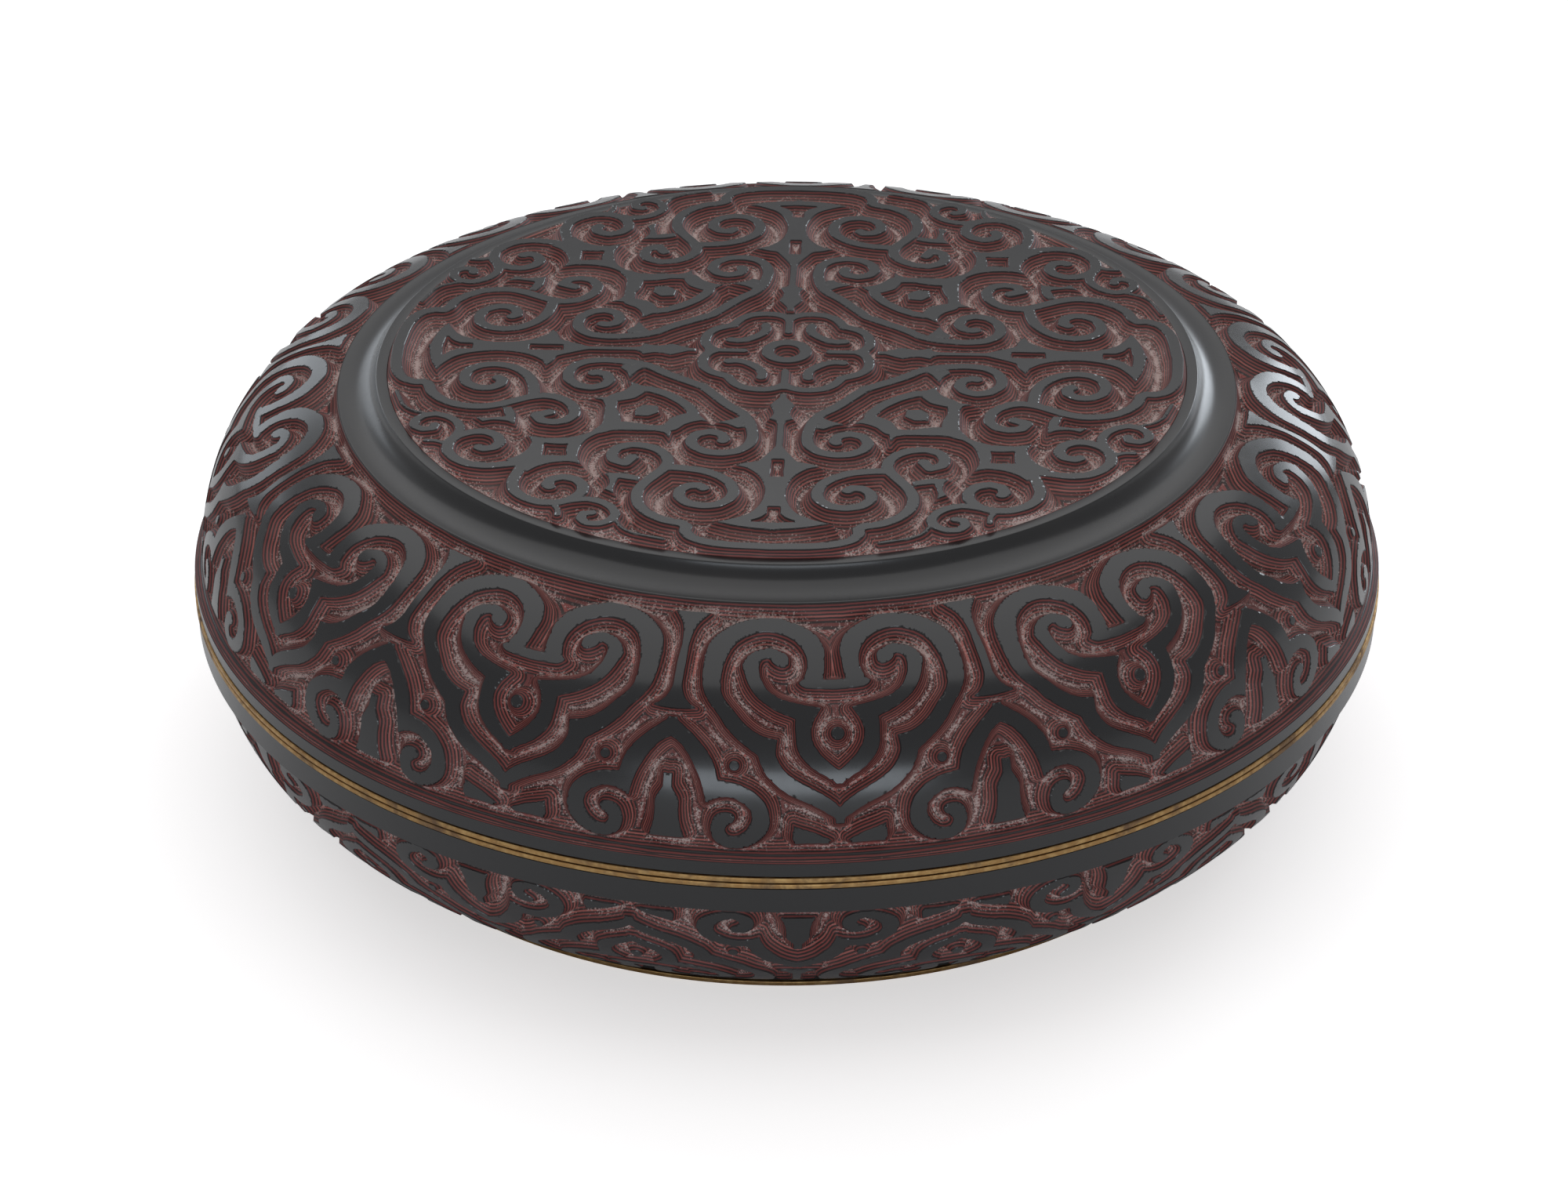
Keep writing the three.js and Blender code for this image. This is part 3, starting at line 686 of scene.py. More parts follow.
def head_tile(skin, band, press, closed_top):
    """Half a head on a skin. Press takes the lid's walked lengths to this skin's."""
    half = math.radians(HALF_STEP)
    drawing = head_drawing(skin, press)
    tile = Tile(half)
    lengths = np.linspace(band, skin.length, round((skin.length - band) / GRID) + 1)
    tile.row(WALL_START, GRID * BAND_STEPS)
    for s in lengths:
        tile.row(s, float(skin.at(s)[0]) * half)
    carved = len(tile.rows)
    for share in np.linspace(1, 0, carved):
        tile.row(WALL_START + share * (skin.length - WALL_START), GRID * UNDER_STEPS)
    tile.done()
    tris = stitch_rows(tile, loop=True)
    if skin.upwards < 0:
        tris = tris[:, ::-1]

    top = tile.rows[carved][0]
    first, last = tile.ids(1), tile.ids(carved - 1)
    flat = np.stack([np.degrees(tile.flat[:, 1]), tile.flat[:, 0]], 1)
    cut = np.arange(len(flat))
    cut = cut[(cut >= first[0]) & (cut < top)]
    on_top = tris[((tris >= first[0]) & (tris < top)).all(1)]
    distance = np.zeros(tile.count)
    distance[cut] = drawing.measure(flat[cut]) + HEAD_LEAN

    def corners():
        s = flat[on_top][..., 1]
        r = skin.at(s.mean(1, keepdims=True))[0]
        return np.radians(flat[on_top][..., 0]) * r, s

    start, end = tile.edge_ids(last=False), tile.edge_ids()

    def move(step):
        step[start, 0] = 0
        step[end, 0] = 0
        step[np.r_[first, last]] = 0
        step[top:] = 0
        r = skin.at(flat[:, 1])[0]
        flat[:, 0] += np.degrees(step[:, 0] / r)
        flat[:, 1] += step[:, 1]

    distance = snap(move, distance, gradient(*corners(), on_top, distance))
    reach = np.minimum(np.maximum(distance, 0), flat[:, 1] - band - BAND_PROUD / SLOPE)
    if closed_top:
        reach = np.minimum(reach, skin.length - flat[:, 1])
    depth = fall(reach)
    depth[:cut[0]] = -BAND_PROUD
    depth[top:] = COAT
    crease = spread(dust(gradient(*corners(), on_top, reach), depth), on_top)
    space = skin.place(flat[:, 1], np.radians(flat[:, 0]), depth)
    # the plain band stands upright and its rows lie level
    for ids, height in ((tile.ids(0), WALL_START), (first, band)):
        a = tile.flat[ids, 1]
        level = np.full(len(a), MOUTH + skin.upwards * height)
        space[ids] = np.stack([BAND_RADIUS * np.sin(a), -BAND_RADIUS * np.cos(a), level], 1)
    shade = colour_depth(distance, depth)
    shade[tile.ids(0)] = 0
    shade[first] = 0
    outer, inner = end[:carved], end[carved:][::-1]
    return space, tris, shade, crease, (outer, inner)


as_drawn = lambda s: s
flatter = lambda s: BASE_HEAD_FOOT + (s - HEAD_FOOT) * PRESSED
tiles["shoulder"] = head_tile(lid_skin, LID_BAND, as_drawn, closed_top=True)
tiles["wall"] = head_tile(base_skin, BASE_BAND, flatter, closed_top=False)
for name, (space, tris, *_) in tiles.items():
    print("tile %s: %d vertices, %d triangles" % (name, len(space), len(tris)))

# %% [markdown]
# ## Round the box
#
# A carver marks the repeats with dividers and carves each alike. Mirror and Array modifiers could
# repeat the tile, but a small node tree does both at once and takes its sizes as named inputs: the
# tile is mirrored, set round the axis, and joined into one skin. Each coat is divided into a few
# sectors, so that no mesh grows too large.

# %% A tree that repeats a tile
WELD = 0.01 * MM  # points closer than this are joined


def repeat_tree():
    tree = bpy.data.node_groups.new("round_the_axis", "GeometryNodeTree")
    sizes = [("Copies", "Int"), ("Step", "Float"), ("Start", "Float"), ("Weld", "Float")]
    for label, kind in [("Geometry", "Geometry"), *sizes, ("Material", "Material")]:
        tree.interface.new_socket(label, in_out="INPUT", socket_type="NodeSocket" + kind)
    tree.interface.new_socket("Geometry", in_out="OUTPUT", socket_type="NodeSocketGeometry")
    node = tree.nodes.new
    link = tree.links.new
    given, made = node("NodeGroupInput"), node("NodeGroupOutput")
    mirrored = node("GeometryNodeTransform")
    mirrored.inputs["Scale"].default_value = (-1, 1, 1)
    flipped = node("GeometryNodeFlipFaces")
    both = node("GeometryNodeJoinGeometry")
    points = node("GeometryNodePoints")
    index = node("GeometryNodeInputIndex")
    turn = node("ShaderNodeMath")
    turn.operation = "MULTIPLY_ADD"
    about = node("ShaderNodeCombineXYZ")
    placed = node("GeometryNodeInstanceOnPoints")
    real = node("GeometryNodeRealizeInstances")
    joined = node("GeometryNodeMergeByDistance")
    dressed = node("GeometryNodeSetMaterial")
    link(given.outputs["Geometry"], mirrored.inputs["Geometry"])
    link(mirrored.outputs["Geometry"], flipped.inputs["Mesh"])
    link(given.outputs["Geometry"], both.inputs["Geometry"])
    link(flipped.outputs["Mesh"], both.inputs["Geometry"])
    link(given.outputs["Copies"], points.inputs["Count"])
    link(index.outputs["Index"], turn.inputs[0])
    link(given.outputs["Step"], turn.inputs[1])
    link(given.outputs["Start"], turn.inputs[2])
    link(turn.outputs["Value"], about.inputs["Z"])
    link(points.outputs["Points"], placed.inputs["Points"])
    link(both.outputs["Geometry"], placed.inputs["Instance"])
    link(about.outputs["Vector"], placed.inputs["Rotation"])
    link(placed.outputs["Instances"], real.inputs["Geometry"])
    link(real.outputs["Geometry"], joined.inputs["Geometry"])
    link(given.outputs["Weld"], joined.inputs["Distance"])
    link(joined.outputs["Geometry"], dressed.inputs["Geometry"])
    link(given.outputs["Material"], dressed.inputs["Material"])
    link(dressed.outputs["Geometry"], made.inputs["Geometry"])
    return tree


around = repeat_tree()
print("tree %s: %d nodes" % (around.name, len(around.nodes)))


# %% Meshes from points
def triangle_edges(faces):
    """The three edges of each triangle, as pairs of vertex numbers."""
    return np.vstack([faces[:, [0, 1]], faces[:, [1, 2]], faces[:, [2, 0]]]).astype(np.int64)


def mark_borders(mesh, faces, parts):
    """Edges between triangles of two different parts are sharp, all others smooth."""
    pairs = np.sort(triangle_edges(faces), axis=1)
    count = faces.max() + 1
    keys = pairs[:, 0] * count + pairs[:, 1]
    order = np.argsort(keys, kind="stable")
    part = np.tile(parts, 3)[order]
    edges = np.empty(len(mesh.edges) * 2, np.int32)
    mesh.edges.foreach_get("vertices", edges)
    edges = np.sort(edges.reshape(-1, 2).astype(np.int64), axis=1)
    where = np.searchsorted(keys[order][::2], edges[:, 0] * count + edges[:, 1])
    mesh.edges.foreach_set("use_edge_sharp", (part[::2] != part[1::2])[where])


def make_mesh(name, points, faces, numbers=None, sharp=None, parts=None):
    """A mesh in metres from points in millimetres, with named numbers on its vertices."""
    mesh = bpy.data.meshes.new(name)
    mesh.from_pydata((np.asarray(points) * MM).tolist(), [], np.asarray(faces).tolist())
    for key, values in (numbers or {}).items():
        mesh.attributes.new(key, "FLOAT", "POINT").data.foreach_set("value", np.asarray(values, np.float32))
    mesh.shade_smooth()
    if sharp:
        mesh.set_sharp_from_angle(angle=math.radians(sharp))
    if parts is not None:
        mark_borders(mesh, faces, parts)
    return mesh


def volume(points, faces):
    a, b, c = (points[faces[:, k]] for k in range(3))
    return float(np.einsum("ij,ij->i", a, np.cross(b, c)).sum() / 6)


def is_closed(faces):
    """Every edge is used once in each direction."""
    e = triangle_edges(faces)
    n = e.max() + 1
    forth, back = np.sort(e[:, 0] * n + e[:, 1]), np.sort(e[:, 1] * n + e[:, 0])
    return bool((forth == back).all() and (np.diff(forth) > 0).all())


print("a tetrahedron is closed:", is_closed(np.array([[0, 1, 2], [0, 2, 3], [0, 3, 1], [1, 3, 2]])))

# %% [markdown]
# ## Close a sector
#
# The repeated tiles are open where one sector ends and the next begins. On the real coat there is
# no such end, yet every piece here has to be a closed body. Blender's Fill would close the gap with
# whatever triangles it finds. But the line of the carving and the line beneath it have equally many
# points, so the two are stitched into a clean narrow face at either end.

# %% Grow a sector and close it
TOP_DEPTH = 0.02  # a triangle that lies less deep belongs to an uncut top


def turn_z(points, angle):
    c, s = math.cos(angle), math.sin(angle)
    x, y, z = points.T
    return np.stack([x * c - y * s, x * s + y * c, z], 1)


quarter = turn_z(np.array([[1.0, 0.0, 0.0]]), math.pi / 2)[0]
print("a point on the right, turned by a quarter: (%.1f, %.1f, %.1f)" % tuple(quarter))


def repeated(host, **values):
    """The mesh that the tree makes from an object's tile."""
    nodes = host.modifiers.new("round", "NODES")
    nodes.node_group = around
    for item in around.interface.items_tree:
        if item.item_type == "SOCKET" and item.in_out == "INPUT" and item.name in values:
            nodes[item.identifier] = values[item.name]
    graph = bpy.context.evaluated_depsgraph_get()
    graph.update()
    ready = host.evaluated_get(graph)
    mesh = bpy.data.meshes.new_from_object(ready, preserve_all_data_layers=True, depsgraph=graph)
    host.modifiers.clear()
    return mesh


def read_mesh(mesh):
    """Points in millimetres, triangles, and the two numbers for the lacquer."""
    points = np.empty(len(mesh.vertices) * 3, np.float32)
    mesh.vertices.foreach_get("co", points)
    faces = np.empty(len(mesh.loops), np.int32)
    mesh.loops.foreach_get("vertex_index", faces)
    numbers = {}
    for key in ("depth", "crease"):
        numbers[key] = np.empty(len(mesh.vertices), np.float32)
        mesh.attributes[key].data.foreach_get("value", numbers[key])
    return points.reshape(-1, 3).astype(float) / MM, faces.reshape(-1, 3), numbers


def sector(name, tile, copies, step, start, material):
    """Copies of a mirrored tile round the axis, closed at both ends."""
    space, tris, depth, crease, (outer, inner) = tile
    tile_mesh = make_mesh(name + "_tile", space, tris, {"depth": depth, "crease": crease})
    host = bpy.data.objects.new(name, tile_mesh)
    bpy.context.collection.objects.link(host)
    grown = repeated(host, Copies=copies, Step=step, Start=start, Weld=WELD, Material=material)
    points, body, numbers = read_mesh(grown)

    # the end faces are wound against their neighbours
    strip = np.array(stitch(outer, inner))
    faces = body
    for side, angle in ((1, start + step * (copies - 1)), (-1, start)):
        line = turn_z(space * [side, 1, 1], angle)
        match = {int(u): int(((points - line[u]) ** 2).sum(1).argmin()) for u in np.unique(strip)}
        end = np.array([[match[int(v)] for v in t] for t in strip])
        a, b = match[int(outer[0])], match[int(outer[1])]
        runs = lambda tris: any(((tris[:, i] == a) & (tris[:, (i + 1) % 3] == b)).any() for i in range(3))
        faces = np.vstack([faces, end[:, ::-1] if runs(body) == runs(end) else end])
    # the uncut tops, the cuts and the end faces meet at clean edges
    parts = np.where(numbers["depth"][faces].max(1) < TOP_DEPTH, 1, 0)
    parts[len(body) :] = 2
    host.data = make_mesh(name, points, faces, numbers, parts=parts)
    host.data.materials.append(material)
    space_taken = volume(points, faces) / 1000
    print("%s: %d triangles, closed %s, %.1f cm3" % (name, len(faces), is_closed(faces), space_taken))
    return host


# %% [markdown]
# ## Lacquers, brass and wood
#
# Carved lacquer is one body of thin coats. Wherever the knife goes down it meets them in the same
# order, so the colour follows the depth alone: a black top, then red coats parted by thin black
# ones. Dust that no cloth can reach stays in the bottoms of the cuts. A painted picture could show
# both, but it would blur close up and slip against the cuts, so nodes work them out at every point.
# The coats and the dust serve two materials and are node groups of their own.

# %% Short calls for node trees
def group(name, inputs, outputs):
    tree = bpy.data.node_groups.new(name, "ShaderNodeTree")
    for label, kind, value in inputs:
        socket = tree.interface.new_socket(label, in_out="INPUT", socket_type="NodeSocket" + kind)
        socket.default_value = value
    for label, kind in outputs:
        tree.interface.new_socket(label, in_out="OUTPUT", socket_type="NodeSocket" + kind)
    return tree, tree.nodes.new("NodeGroupInput"), tree.nodes.new("NodeGroupOutput")


class Net:
    """Short calls for the nodes of one tree."""

    def __init__(self, tree):
        self.tree = tree

    def put(self, socket, value):
        if isinstance(value, bpy.types.NodeSocket):
            self.tree.links.new(value, socket)
        else:
            socket.default_value = value

    def math(self, operation, *values, clamp=False):
        n = self.tree.nodes.new("ShaderNodeMath")
        n.operation, n.use_clamp = operation, clamp
        for socket, value in zip(n.inputs, values):
            self.put(socket, value)
        return n.outputs[0]

    def smooth(self, value, low, high):
        n = self.tree.nodes.new("ShaderNodeMapRange")
        n.interpolation_type = "SMOOTHSTEP"
        for key, v in (("Value", value), ("From Min", low), ("From Max", high)):
            self.put(n.inputs[key], v)
        return n.outputs["Result"]

    def mix(self, share, a, b):
        n = self.tree.nodes.new("ShaderNodeMix")
        n.data_type = "RGBA"
        self.put(n.inputs["Factor"], share)
        self.put([i for i in n.inputs if i.identifier == "A_Color"][0], a)
        self.put([i for i in n.inputs if i.identifier == "B_Color"][0], b)
        return [o for o in n.outputs if o.identifier == "Result_Color"][0]

    def noise(self, scale, detail=2.0, rough=0.5, stretch=None, distortion=0.0):
        n = self.tree.nodes.new("ShaderNodeTexNoise")
        n.inputs["Scale"].default_value = scale
        n.inputs["Detail"].default_value = detail
        n.inputs["Roughness"].default_value = rough
        n.inputs["Distortion"].default_value = distortion
        where = self.tree.nodes.new("ShaderNodeTexCoord").outputs["Object"]
        if stretch:
            m = self.tree.nodes.new("ShaderNodeMapping")
            m.inputs["Scale"].default_value = stretch
            self.put(m.inputs["Vector"], where)
            where = m.outputs["Vector"]
        self.put(n.inputs["Vector"], where)
        return n.outputs["Fac"]

    def ramp(self, value, stops):
        n = self.tree.nodes.new("ShaderNodeValToRGB")
        n.color_ramp.interpolation = "CONSTANT"
        e = n.color_ramp.elements
        for i, (at, colour) in enumerate(stops):
            item = e[i] if i < 2 else e.new(at)
            item.position, item.color = at, (*colour, 1)
        self.put(n.inputs["Fac"], value)
        return n.outputs["Color"]

    def attribute(self, name):
        n = self.tree.nodes.new("ShaderNodeAttribute")
        n.attribute_name = name
        return n.outputs["Fac"]

    def use(self, tree, **values):
        n = self.tree.nodes.new("ShaderNodeGroup")
        n.node_tree = tree
        for key, value in values.items():
            self.put(n.inputs[key.replace("_", " ")], value)
        return n.outputs


calls = [name for name in vars(Net) if not name.startswith("_")]
print("calls for a node tree:", ", ".join(calls))

# %% [markdown]
# ## The coats under the knife
#
# A carved box gets many coats of red lacquer, with thin black ones between them and black on top.
# A painted stripe per coat would slip wherever the cut bends. Here the depth is divided by the
# thickness of a coat, its whole part picks the red of that coat, and the rest of it draws the black
# line. The real coats are uneven, so a little noise is added to the depth first.

# %% The coats, from the depth
WAVE, TREMBLE = 0.4, 0.06  # millimetres by which a coat wanders, over a long and a short way
BLACK_TOP = (0.07, 0.16)  # the depth at which the black top coat ends
RED_FROM, RED_TO = (0.42, 0.52), (1.0, 0.92)  # the share of a coat that is red, with soft ends
REDS = [
    (0.0, (0.24, 0.050, 0.043)), (0.3, (0.33, 0.075, 0.064)), (0.5, (0.17, 0.032, 0.028)),
    (0.65, (0.42, 0.115, 0.095)), (0.85, (0.27, 0.05, 0.042)), (0.94, (0.36, 0.17, 0.10)),
]
BETWEEN_REDS = (0.014, 0.006, 0.006, 1)


def coats_group():
    """Colour and sheen of cut lacquer from its depth in millimetres."""
    tree, given, made = group(
        "lacquer_coats",
        [("Depth", "Float", 0.0), ("Coat", "Float", 0.52), ("Black", "Color", (0.01, 0.01, 0.011, 1))],
        [("Base Color", "Color"), ("Roughness", "Float"), ("Coat Weight", "Float"), ("Bump Height", "Float")],
    )
    net = Net(tree)
    long_way = net.math("SUBTRACT", net.noise(110, 2), 0.5)
    wave = net.math("MULTIPLY_ADD", long_way, WAVE, given.outputs["Depth"])
    short_way = net.math("SUBTRACT", net.noise(1300, 2), 0.5)
    fine = net.math("MULTIPLY_ADD", short_way, TREMBLE, wave)
    steps = net.math("DIVIDE", fine, given.outputs["Coat"])
    number = net.math("FLOOR", steps)
    within = net.math("FRACT", steps)
    pick = tree.nodes.new("ShaderNodeTexWhiteNoise")
    pick.noise_dimensions = "1D"
    net.put(pick.inputs["W"], number)
    red = net.ramp(pick.outputs["Value"], REDS)
    shown = net.math("MULTIPLY", net.smooth(within, *RED_FROM), net.smooth(within, *RED_TO))
    striped = net.mix(shown, BETWEEN_REDS, red)
    cut = net.smooth(given.outputs["Depth"], *BLACK_TOP)
    net.put(made.inputs["Base Color"], net.mix(cut, given.outputs["Black"], striped))
    scuff = net.noise(420, 4, 0.6)
    polished = net.math("MULTIPLY_ADD", scuff, 0.1, 0.17)
    carved = net.math("MULTIPLY_ADD", scuff, 0.2, 0.5)
    mixed = net.math("MULTIPLY_ADD", net.math("SUBTRACT", carved, polished), cut, polished)
    net.put(made.inputs["Roughness"], mixed)
    edge = net.smooth(given.outputs["Depth"], 0.0, 0.05)
    net.put(made.inputs["Coat Weight"], net.math("MULTIPLY", net.math("SUBTRACT", 1.0, edge), 0.3))
    relief = net.math("MULTIPLY", net.math("MULTIPLY", shown, cut), 0.5)
    net.put(made.inputs["Bump Height"], net.math("ADD", relief, net.math("MULTIPLY", scuff, 0.12)))
    return tree


coats = coats_group()
print("group %s: %d nodes" % (coats.name, len(coats.nodes)))

# %% [markdown]
# ## Dust in the cuts
#
# Pale dust lies in the bottoms of the cuts, where no cloth reaches, and hangs as fine specks on the
# deep sides. Loose grains would be thousands of tiny bodies. A fine noise, raised towards the
# crease and cut off at one level, gives the same speckled edge, and a thin haze covers the rest.

# %% The dust, from the crease
SPECKS = (0.65, 0.82)  # where the noise is cut off, with a soft edge
DUSTY_DEPTH = (0.4, 1.3)  # dust begins and is full at these depths
DUST_ROUGHNESS = 0.85


def dust_group():
    """Pale dust over a colour: thick in the crease, speckled on the deep sides."""
    tree, given, made = group(
        "dust_in_cuts",
        [
            ("Base Color", "Color", (0, 0, 0, 1)), ("Roughness", "Float", 0.3), ("Depth", "Float", 0.0),
            ("Crease", "Float", 0.0), ("Amount", "Float", 1.0), ("Dust", "Color", (0.54, 0.42, 0.39, 1)),
        ],
        [("Base Color", "Color"), ("Roughness", "Float")],
    )
    net = Net(tree)
    blotch = net.math("SUBTRACT", net.noise(90, 3), 0.5)
    grain = net.noise(2600, 3, 0.65)
    speckle = net.math("MULTIPLY_ADD", blotch, 0.3, grain)
    gathered = net.math("MULTIPLY_ADD", given.outputs["Crease"], 0.34, speckle)
    haze = net.math("MULTIPLY_ADD", blotch, 0.3, 0.08)
    cover = net.math("MULTIPLY_ADD", net.smooth(gathered, *SPECKS), 0.95, haze)
    cover = net.math("MULTIPLY", cover, net.smooth(given.outputs["Depth"], *DUSTY_DEPTH))
    cover = net.math("MULTIPLY", cover, given.outputs["Amount"], clamp=True)
    net.put(made.inputs["Base Color"], net.mix(cover, given.outputs["Base Color"], given.outputs["Dust"]))
    rough = net.math("SUBTRACT", DUST_ROUGHNESS, given.outputs["Roughness"])
    net.put(made.inputs["Roughness"], net.math("MULTIPLY_ADD", rough, cover, given.outputs["Roughness"]))
    return tree


dust_in_cuts = dust_group()
print("group %s: %d nodes" % (dust_in_cuts.name, len(dust_in_cuts.nodes)))

# %% [markdown]
# ## Carved lacquer
#
# On the carved coats the uncut tops are polished and carry a clear gloss, the cuts are duller, and
# the thin coats stand out a little in them. The coats group gives colour and sheen, the dust group
# lies over it, and a faint bump does the rest. One material could serve the whole box, but the
# round field has one of its own with more dust. Part of it is the dust that a level field gathers,
# and part is painted light, which makes the field's cut sides paler.

# %% Two carved lacquers
LACQUER_IOR = 1.6


def material(name):
    m = bpy.data.materials.new(name)
    m.use_nodes = True
    m.node_tree.nodes.clear()
    shader = m.node_tree.nodes.new("ShaderNodeBsdfPrincipled")
    out = m.node_tree.nodes.new("ShaderNodeOutputMaterial")
    m.node_tree.links.new(shader.outputs["BSDF"], out.inputs["Surface"])
    return m, Net(m.node_tree), shader.inputs


def bump(net, height, strength, distance=0.05 * MM):
    n = net.tree.nodes.new("ShaderNodeBump")
    n.inputs["Strength"].default_value = strength
    n.inputs["Distance"].default_value = distance
    net.put(n.inputs["Height"], height)
    return n.outputs["Normal"]


def carved_lacquer(name, dust_and_light_amount):
    m, net, shader = material(name)
    depth, crease = net.attribute("depth"), net.attribute("crease")
    cut = net.use(coats, Depth=depth)
    dusty = net.use(
        dust_in_cuts, Base_Color=cut["Base Color"], Roughness=cut["Roughness"], Depth=depth, Crease=crease,
        Amount=dust_and_light_amount,
    )
    net.put(shader["Base Color"], dusty["Base Color"])
    net.put(shader["Roughness"], dusty["Roughness"])
    net.put(shader["Coat Weight"], cut["Coat Weight"])
    shader["Coat Roughness"].default_value = 0.13
    shader["Coat IOR"].default_value = LACQUER_IOR
    net.put(shader["Normal"], bump(net, cut["Bump Height"], 0.3))
    return m


carved_mat = carved_lacquer("carved_lacquer", 1.0)
# the field's larger amount of dust is partly real dust and partly painted light that pales its cut sides
field_dust_and_light_mat = carved_lacquer("carved_lacquer_dust_and_light", 1.9)
print("carved finishes:", carved_mat.name, "and", field_dust_and_light_mat.name)

# %% [markdown]
# ## Black lacquer
#
# The channel, the linings, the collar and the foot are plain black, rubbed smooth and a little dull
# with age. A single flat black would look like plastic. So two soft blacks drift into each other,
# fine hairs from wiping break the gloss, and a clear coat lies over them.

# %% Black lacquer
def black_lacquer():
    m, net, shader = material("black_lacquer")
    hair = net.noise(900, 3, 0.6, stretch=(1, 1, 0.15))
    cloud = net.noise(45, 3)
    deep, faded = (0.009, 0.0088, 0.0095, 1), (0.014, 0.0125, 0.013, 1)
    net.put(shader["Base Color"], net.mix(net.smooth(cloud, 0.45, 0.8), deep, faded))
    clouded = net.math("MULTIPLY_ADD", cloud, 0.06, 0.22)
    net.put(shader["Roughness"], net.math("MULTIPLY_ADD", hair, 0.09, clouded))
    shader["Coat Weight"].default_value = 0.3
    shader["Coat Roughness"].default_value = 0.2
    shader["Coat IOR"].default_value = LACQUER_IOR
    net.put(shader["Normal"], bump(net, hair, 0.04))
    return m


black_mat = black_lacquer()
print("plain finish:", black_mat.name)

# %% [markdown]
# ## Worn brass
#
# The three edges are thin brass, golden where hands rub them and brown where they don't. The wear
# could be a painted mask, but a rough noise runs round the whole edge without a seam. Where it is
# brown the metal is duller, and it shows less of its shine.

# %% Brass
def worn_brass():
    m, net, shader = material("worn_brass")
    wear = net.noise(110, 6, 0.65, distortion=0.8)
    spot = net.noise(700, 3)
    gold = net.mix(net.smooth(spot, 0.4, 0.7), (0.42, 0.25, 0.10, 1), (0.56, 0.37, 0.16, 1))
    brown = net.smooth(wear, 0.46, 0.68)
    net.put(shader["Base Color"], net.mix(brown, gold, (0.17, 0.10, 0.055, 1)))
    net.put(shader["Metallic"], net.math("SUBTRACT", 1.0, net.math("MULTIPLY", brown, 0.55)))
    net.put(shader["Roughness"], net.math("MULTIPLY_ADD", brown, 0.25, 0.42))
    dents = net.math("ADD", wear, net.math("MULTIPLY", spot, 0.4))
    net.put(shader["Normal"], bump(net, dents, 0.5, 0.12 * MM))
    return m


brass_mat = worn_brass()
print("metal finish:", brass_mat.name)

# %% [markdown]
# ## Wood of the core
#
# Under the lacquer the box is wood: thin boards and bent hoops. A picture of real wood would show
# more, but the core is seen only when the box is taken apart. So a plain brown is enough, with a
# drawn-out grain that runs round the hoops and darker pores.

# %% Wood
def core_wood():
    m, net, shader = material("core_wood")
    grain = net.noise(60, 6, 0.6, stretch=(1, 1, 9), distortion=0.4)
    pore = net.noise(700, 2, stretch=(1, 1, 14))
    tone = net.mix(net.smooth(grain, 0.35, 0.68), (0.36, 0.22, 0.11, 1), (0.24, 0.13, 0.06, 1))
    net.put(shader["Base Color"], net.mix(net.smooth(pore, 0.6, 0.75), tone, (0.12, 0.065, 0.03, 1)))
    net.put(shader["Roughness"], net.math("MULTIPLY_ADD", grain, 0.2, 0.6))
    net.put(shader["Normal"], bump(net, pore, 0.4))
    return m


wood_mat = core_wood()
print("finish of the core:", wood_mat.name)

# %% [markdown]
# ## The carved coats
#
# The round field stands a little turned against the heads of the shoulder, and the base's heads
# stand between them, as the maker left them. Each coat could be one mesh, but it would be too large
# for one file. So the field comes in two halves, the shoulder in four parts and the wall in three.

# %% Grow the coats
TURN_FIELD, TURN_LID, TURN_BASE = (math.radians(a) for a in (-2.15, 4.6, 16.0))
coats_of = {"lid_lacquer": [], "base_lacquer": []}


def grow(node, name, tile, sectors, repeats, turn, material):
    step = math.tau / repeats
    each = repeats // sectors
    for k in range(sectors):
        piece = sector("%s_%d" % (name, k + 1), tiles[tile], each, step, turn + k * each * step, material)
        coats_of[node].append(piece)


grow("lid_lacquer", "carved_field", "field", 2, 4, TURN_FIELD, field_dust_and_light_mat)
grow("lid_lacquer", "carved_shoulder", "shoulder", 4, HEADS, TURN_LID, carved_mat)
grow("base_lacquer", "carved_wall", "wall", 3, HEADS, TURN_BASE, carved_mat)

# %% [markdown]
# ## The turned coats and edges
#
# What isn't carved is turned: the smooth channel round the field, the linings, the collar that
# guides the lid, the foot and the brass edges. A Screw modifier could swing a profile, with a
# Bevel after it. A short helper does both here: it eases the corners of a closed section, as a worn
# edge is, swings it round the axis, and closes it where it touches the axis.

# %% Swing a section round the axis
ROUND = 240  # steps round the box
NEARLY_STRAIGHT = -0.9  # a corner flatter than this isn't eased


def eased(section, radius):
    """A closed section with its sharp corners rounded; points on the axis stay."""
    p = [np.array(q, float) for q in section]
    out = []
    for i, q in enumerate(p):
        before, after = p[i - 1], p[(i + 1) % len(p)]
        a, b = before - q, after - q
        la, lb = np.linalg.norm(a), np.linalg.norm(b)
        straight = np.dot(a, b) / (la * lb) < NEARLY_STRAIGHT
        cut = min(radius, la / 2.5, lb / 2.5)
        if q[0] == 0 or straight or cut < 0.01:
            out.append(q)
            continue
        u, v = q + a / la * cut, q + b / lb * cut
        for t in (0, 0.3, 0.7, 1):
            out.append((1 - t) ** 2 * u + 2 * (1 - t) * t * q + t**2 * v)
    return out


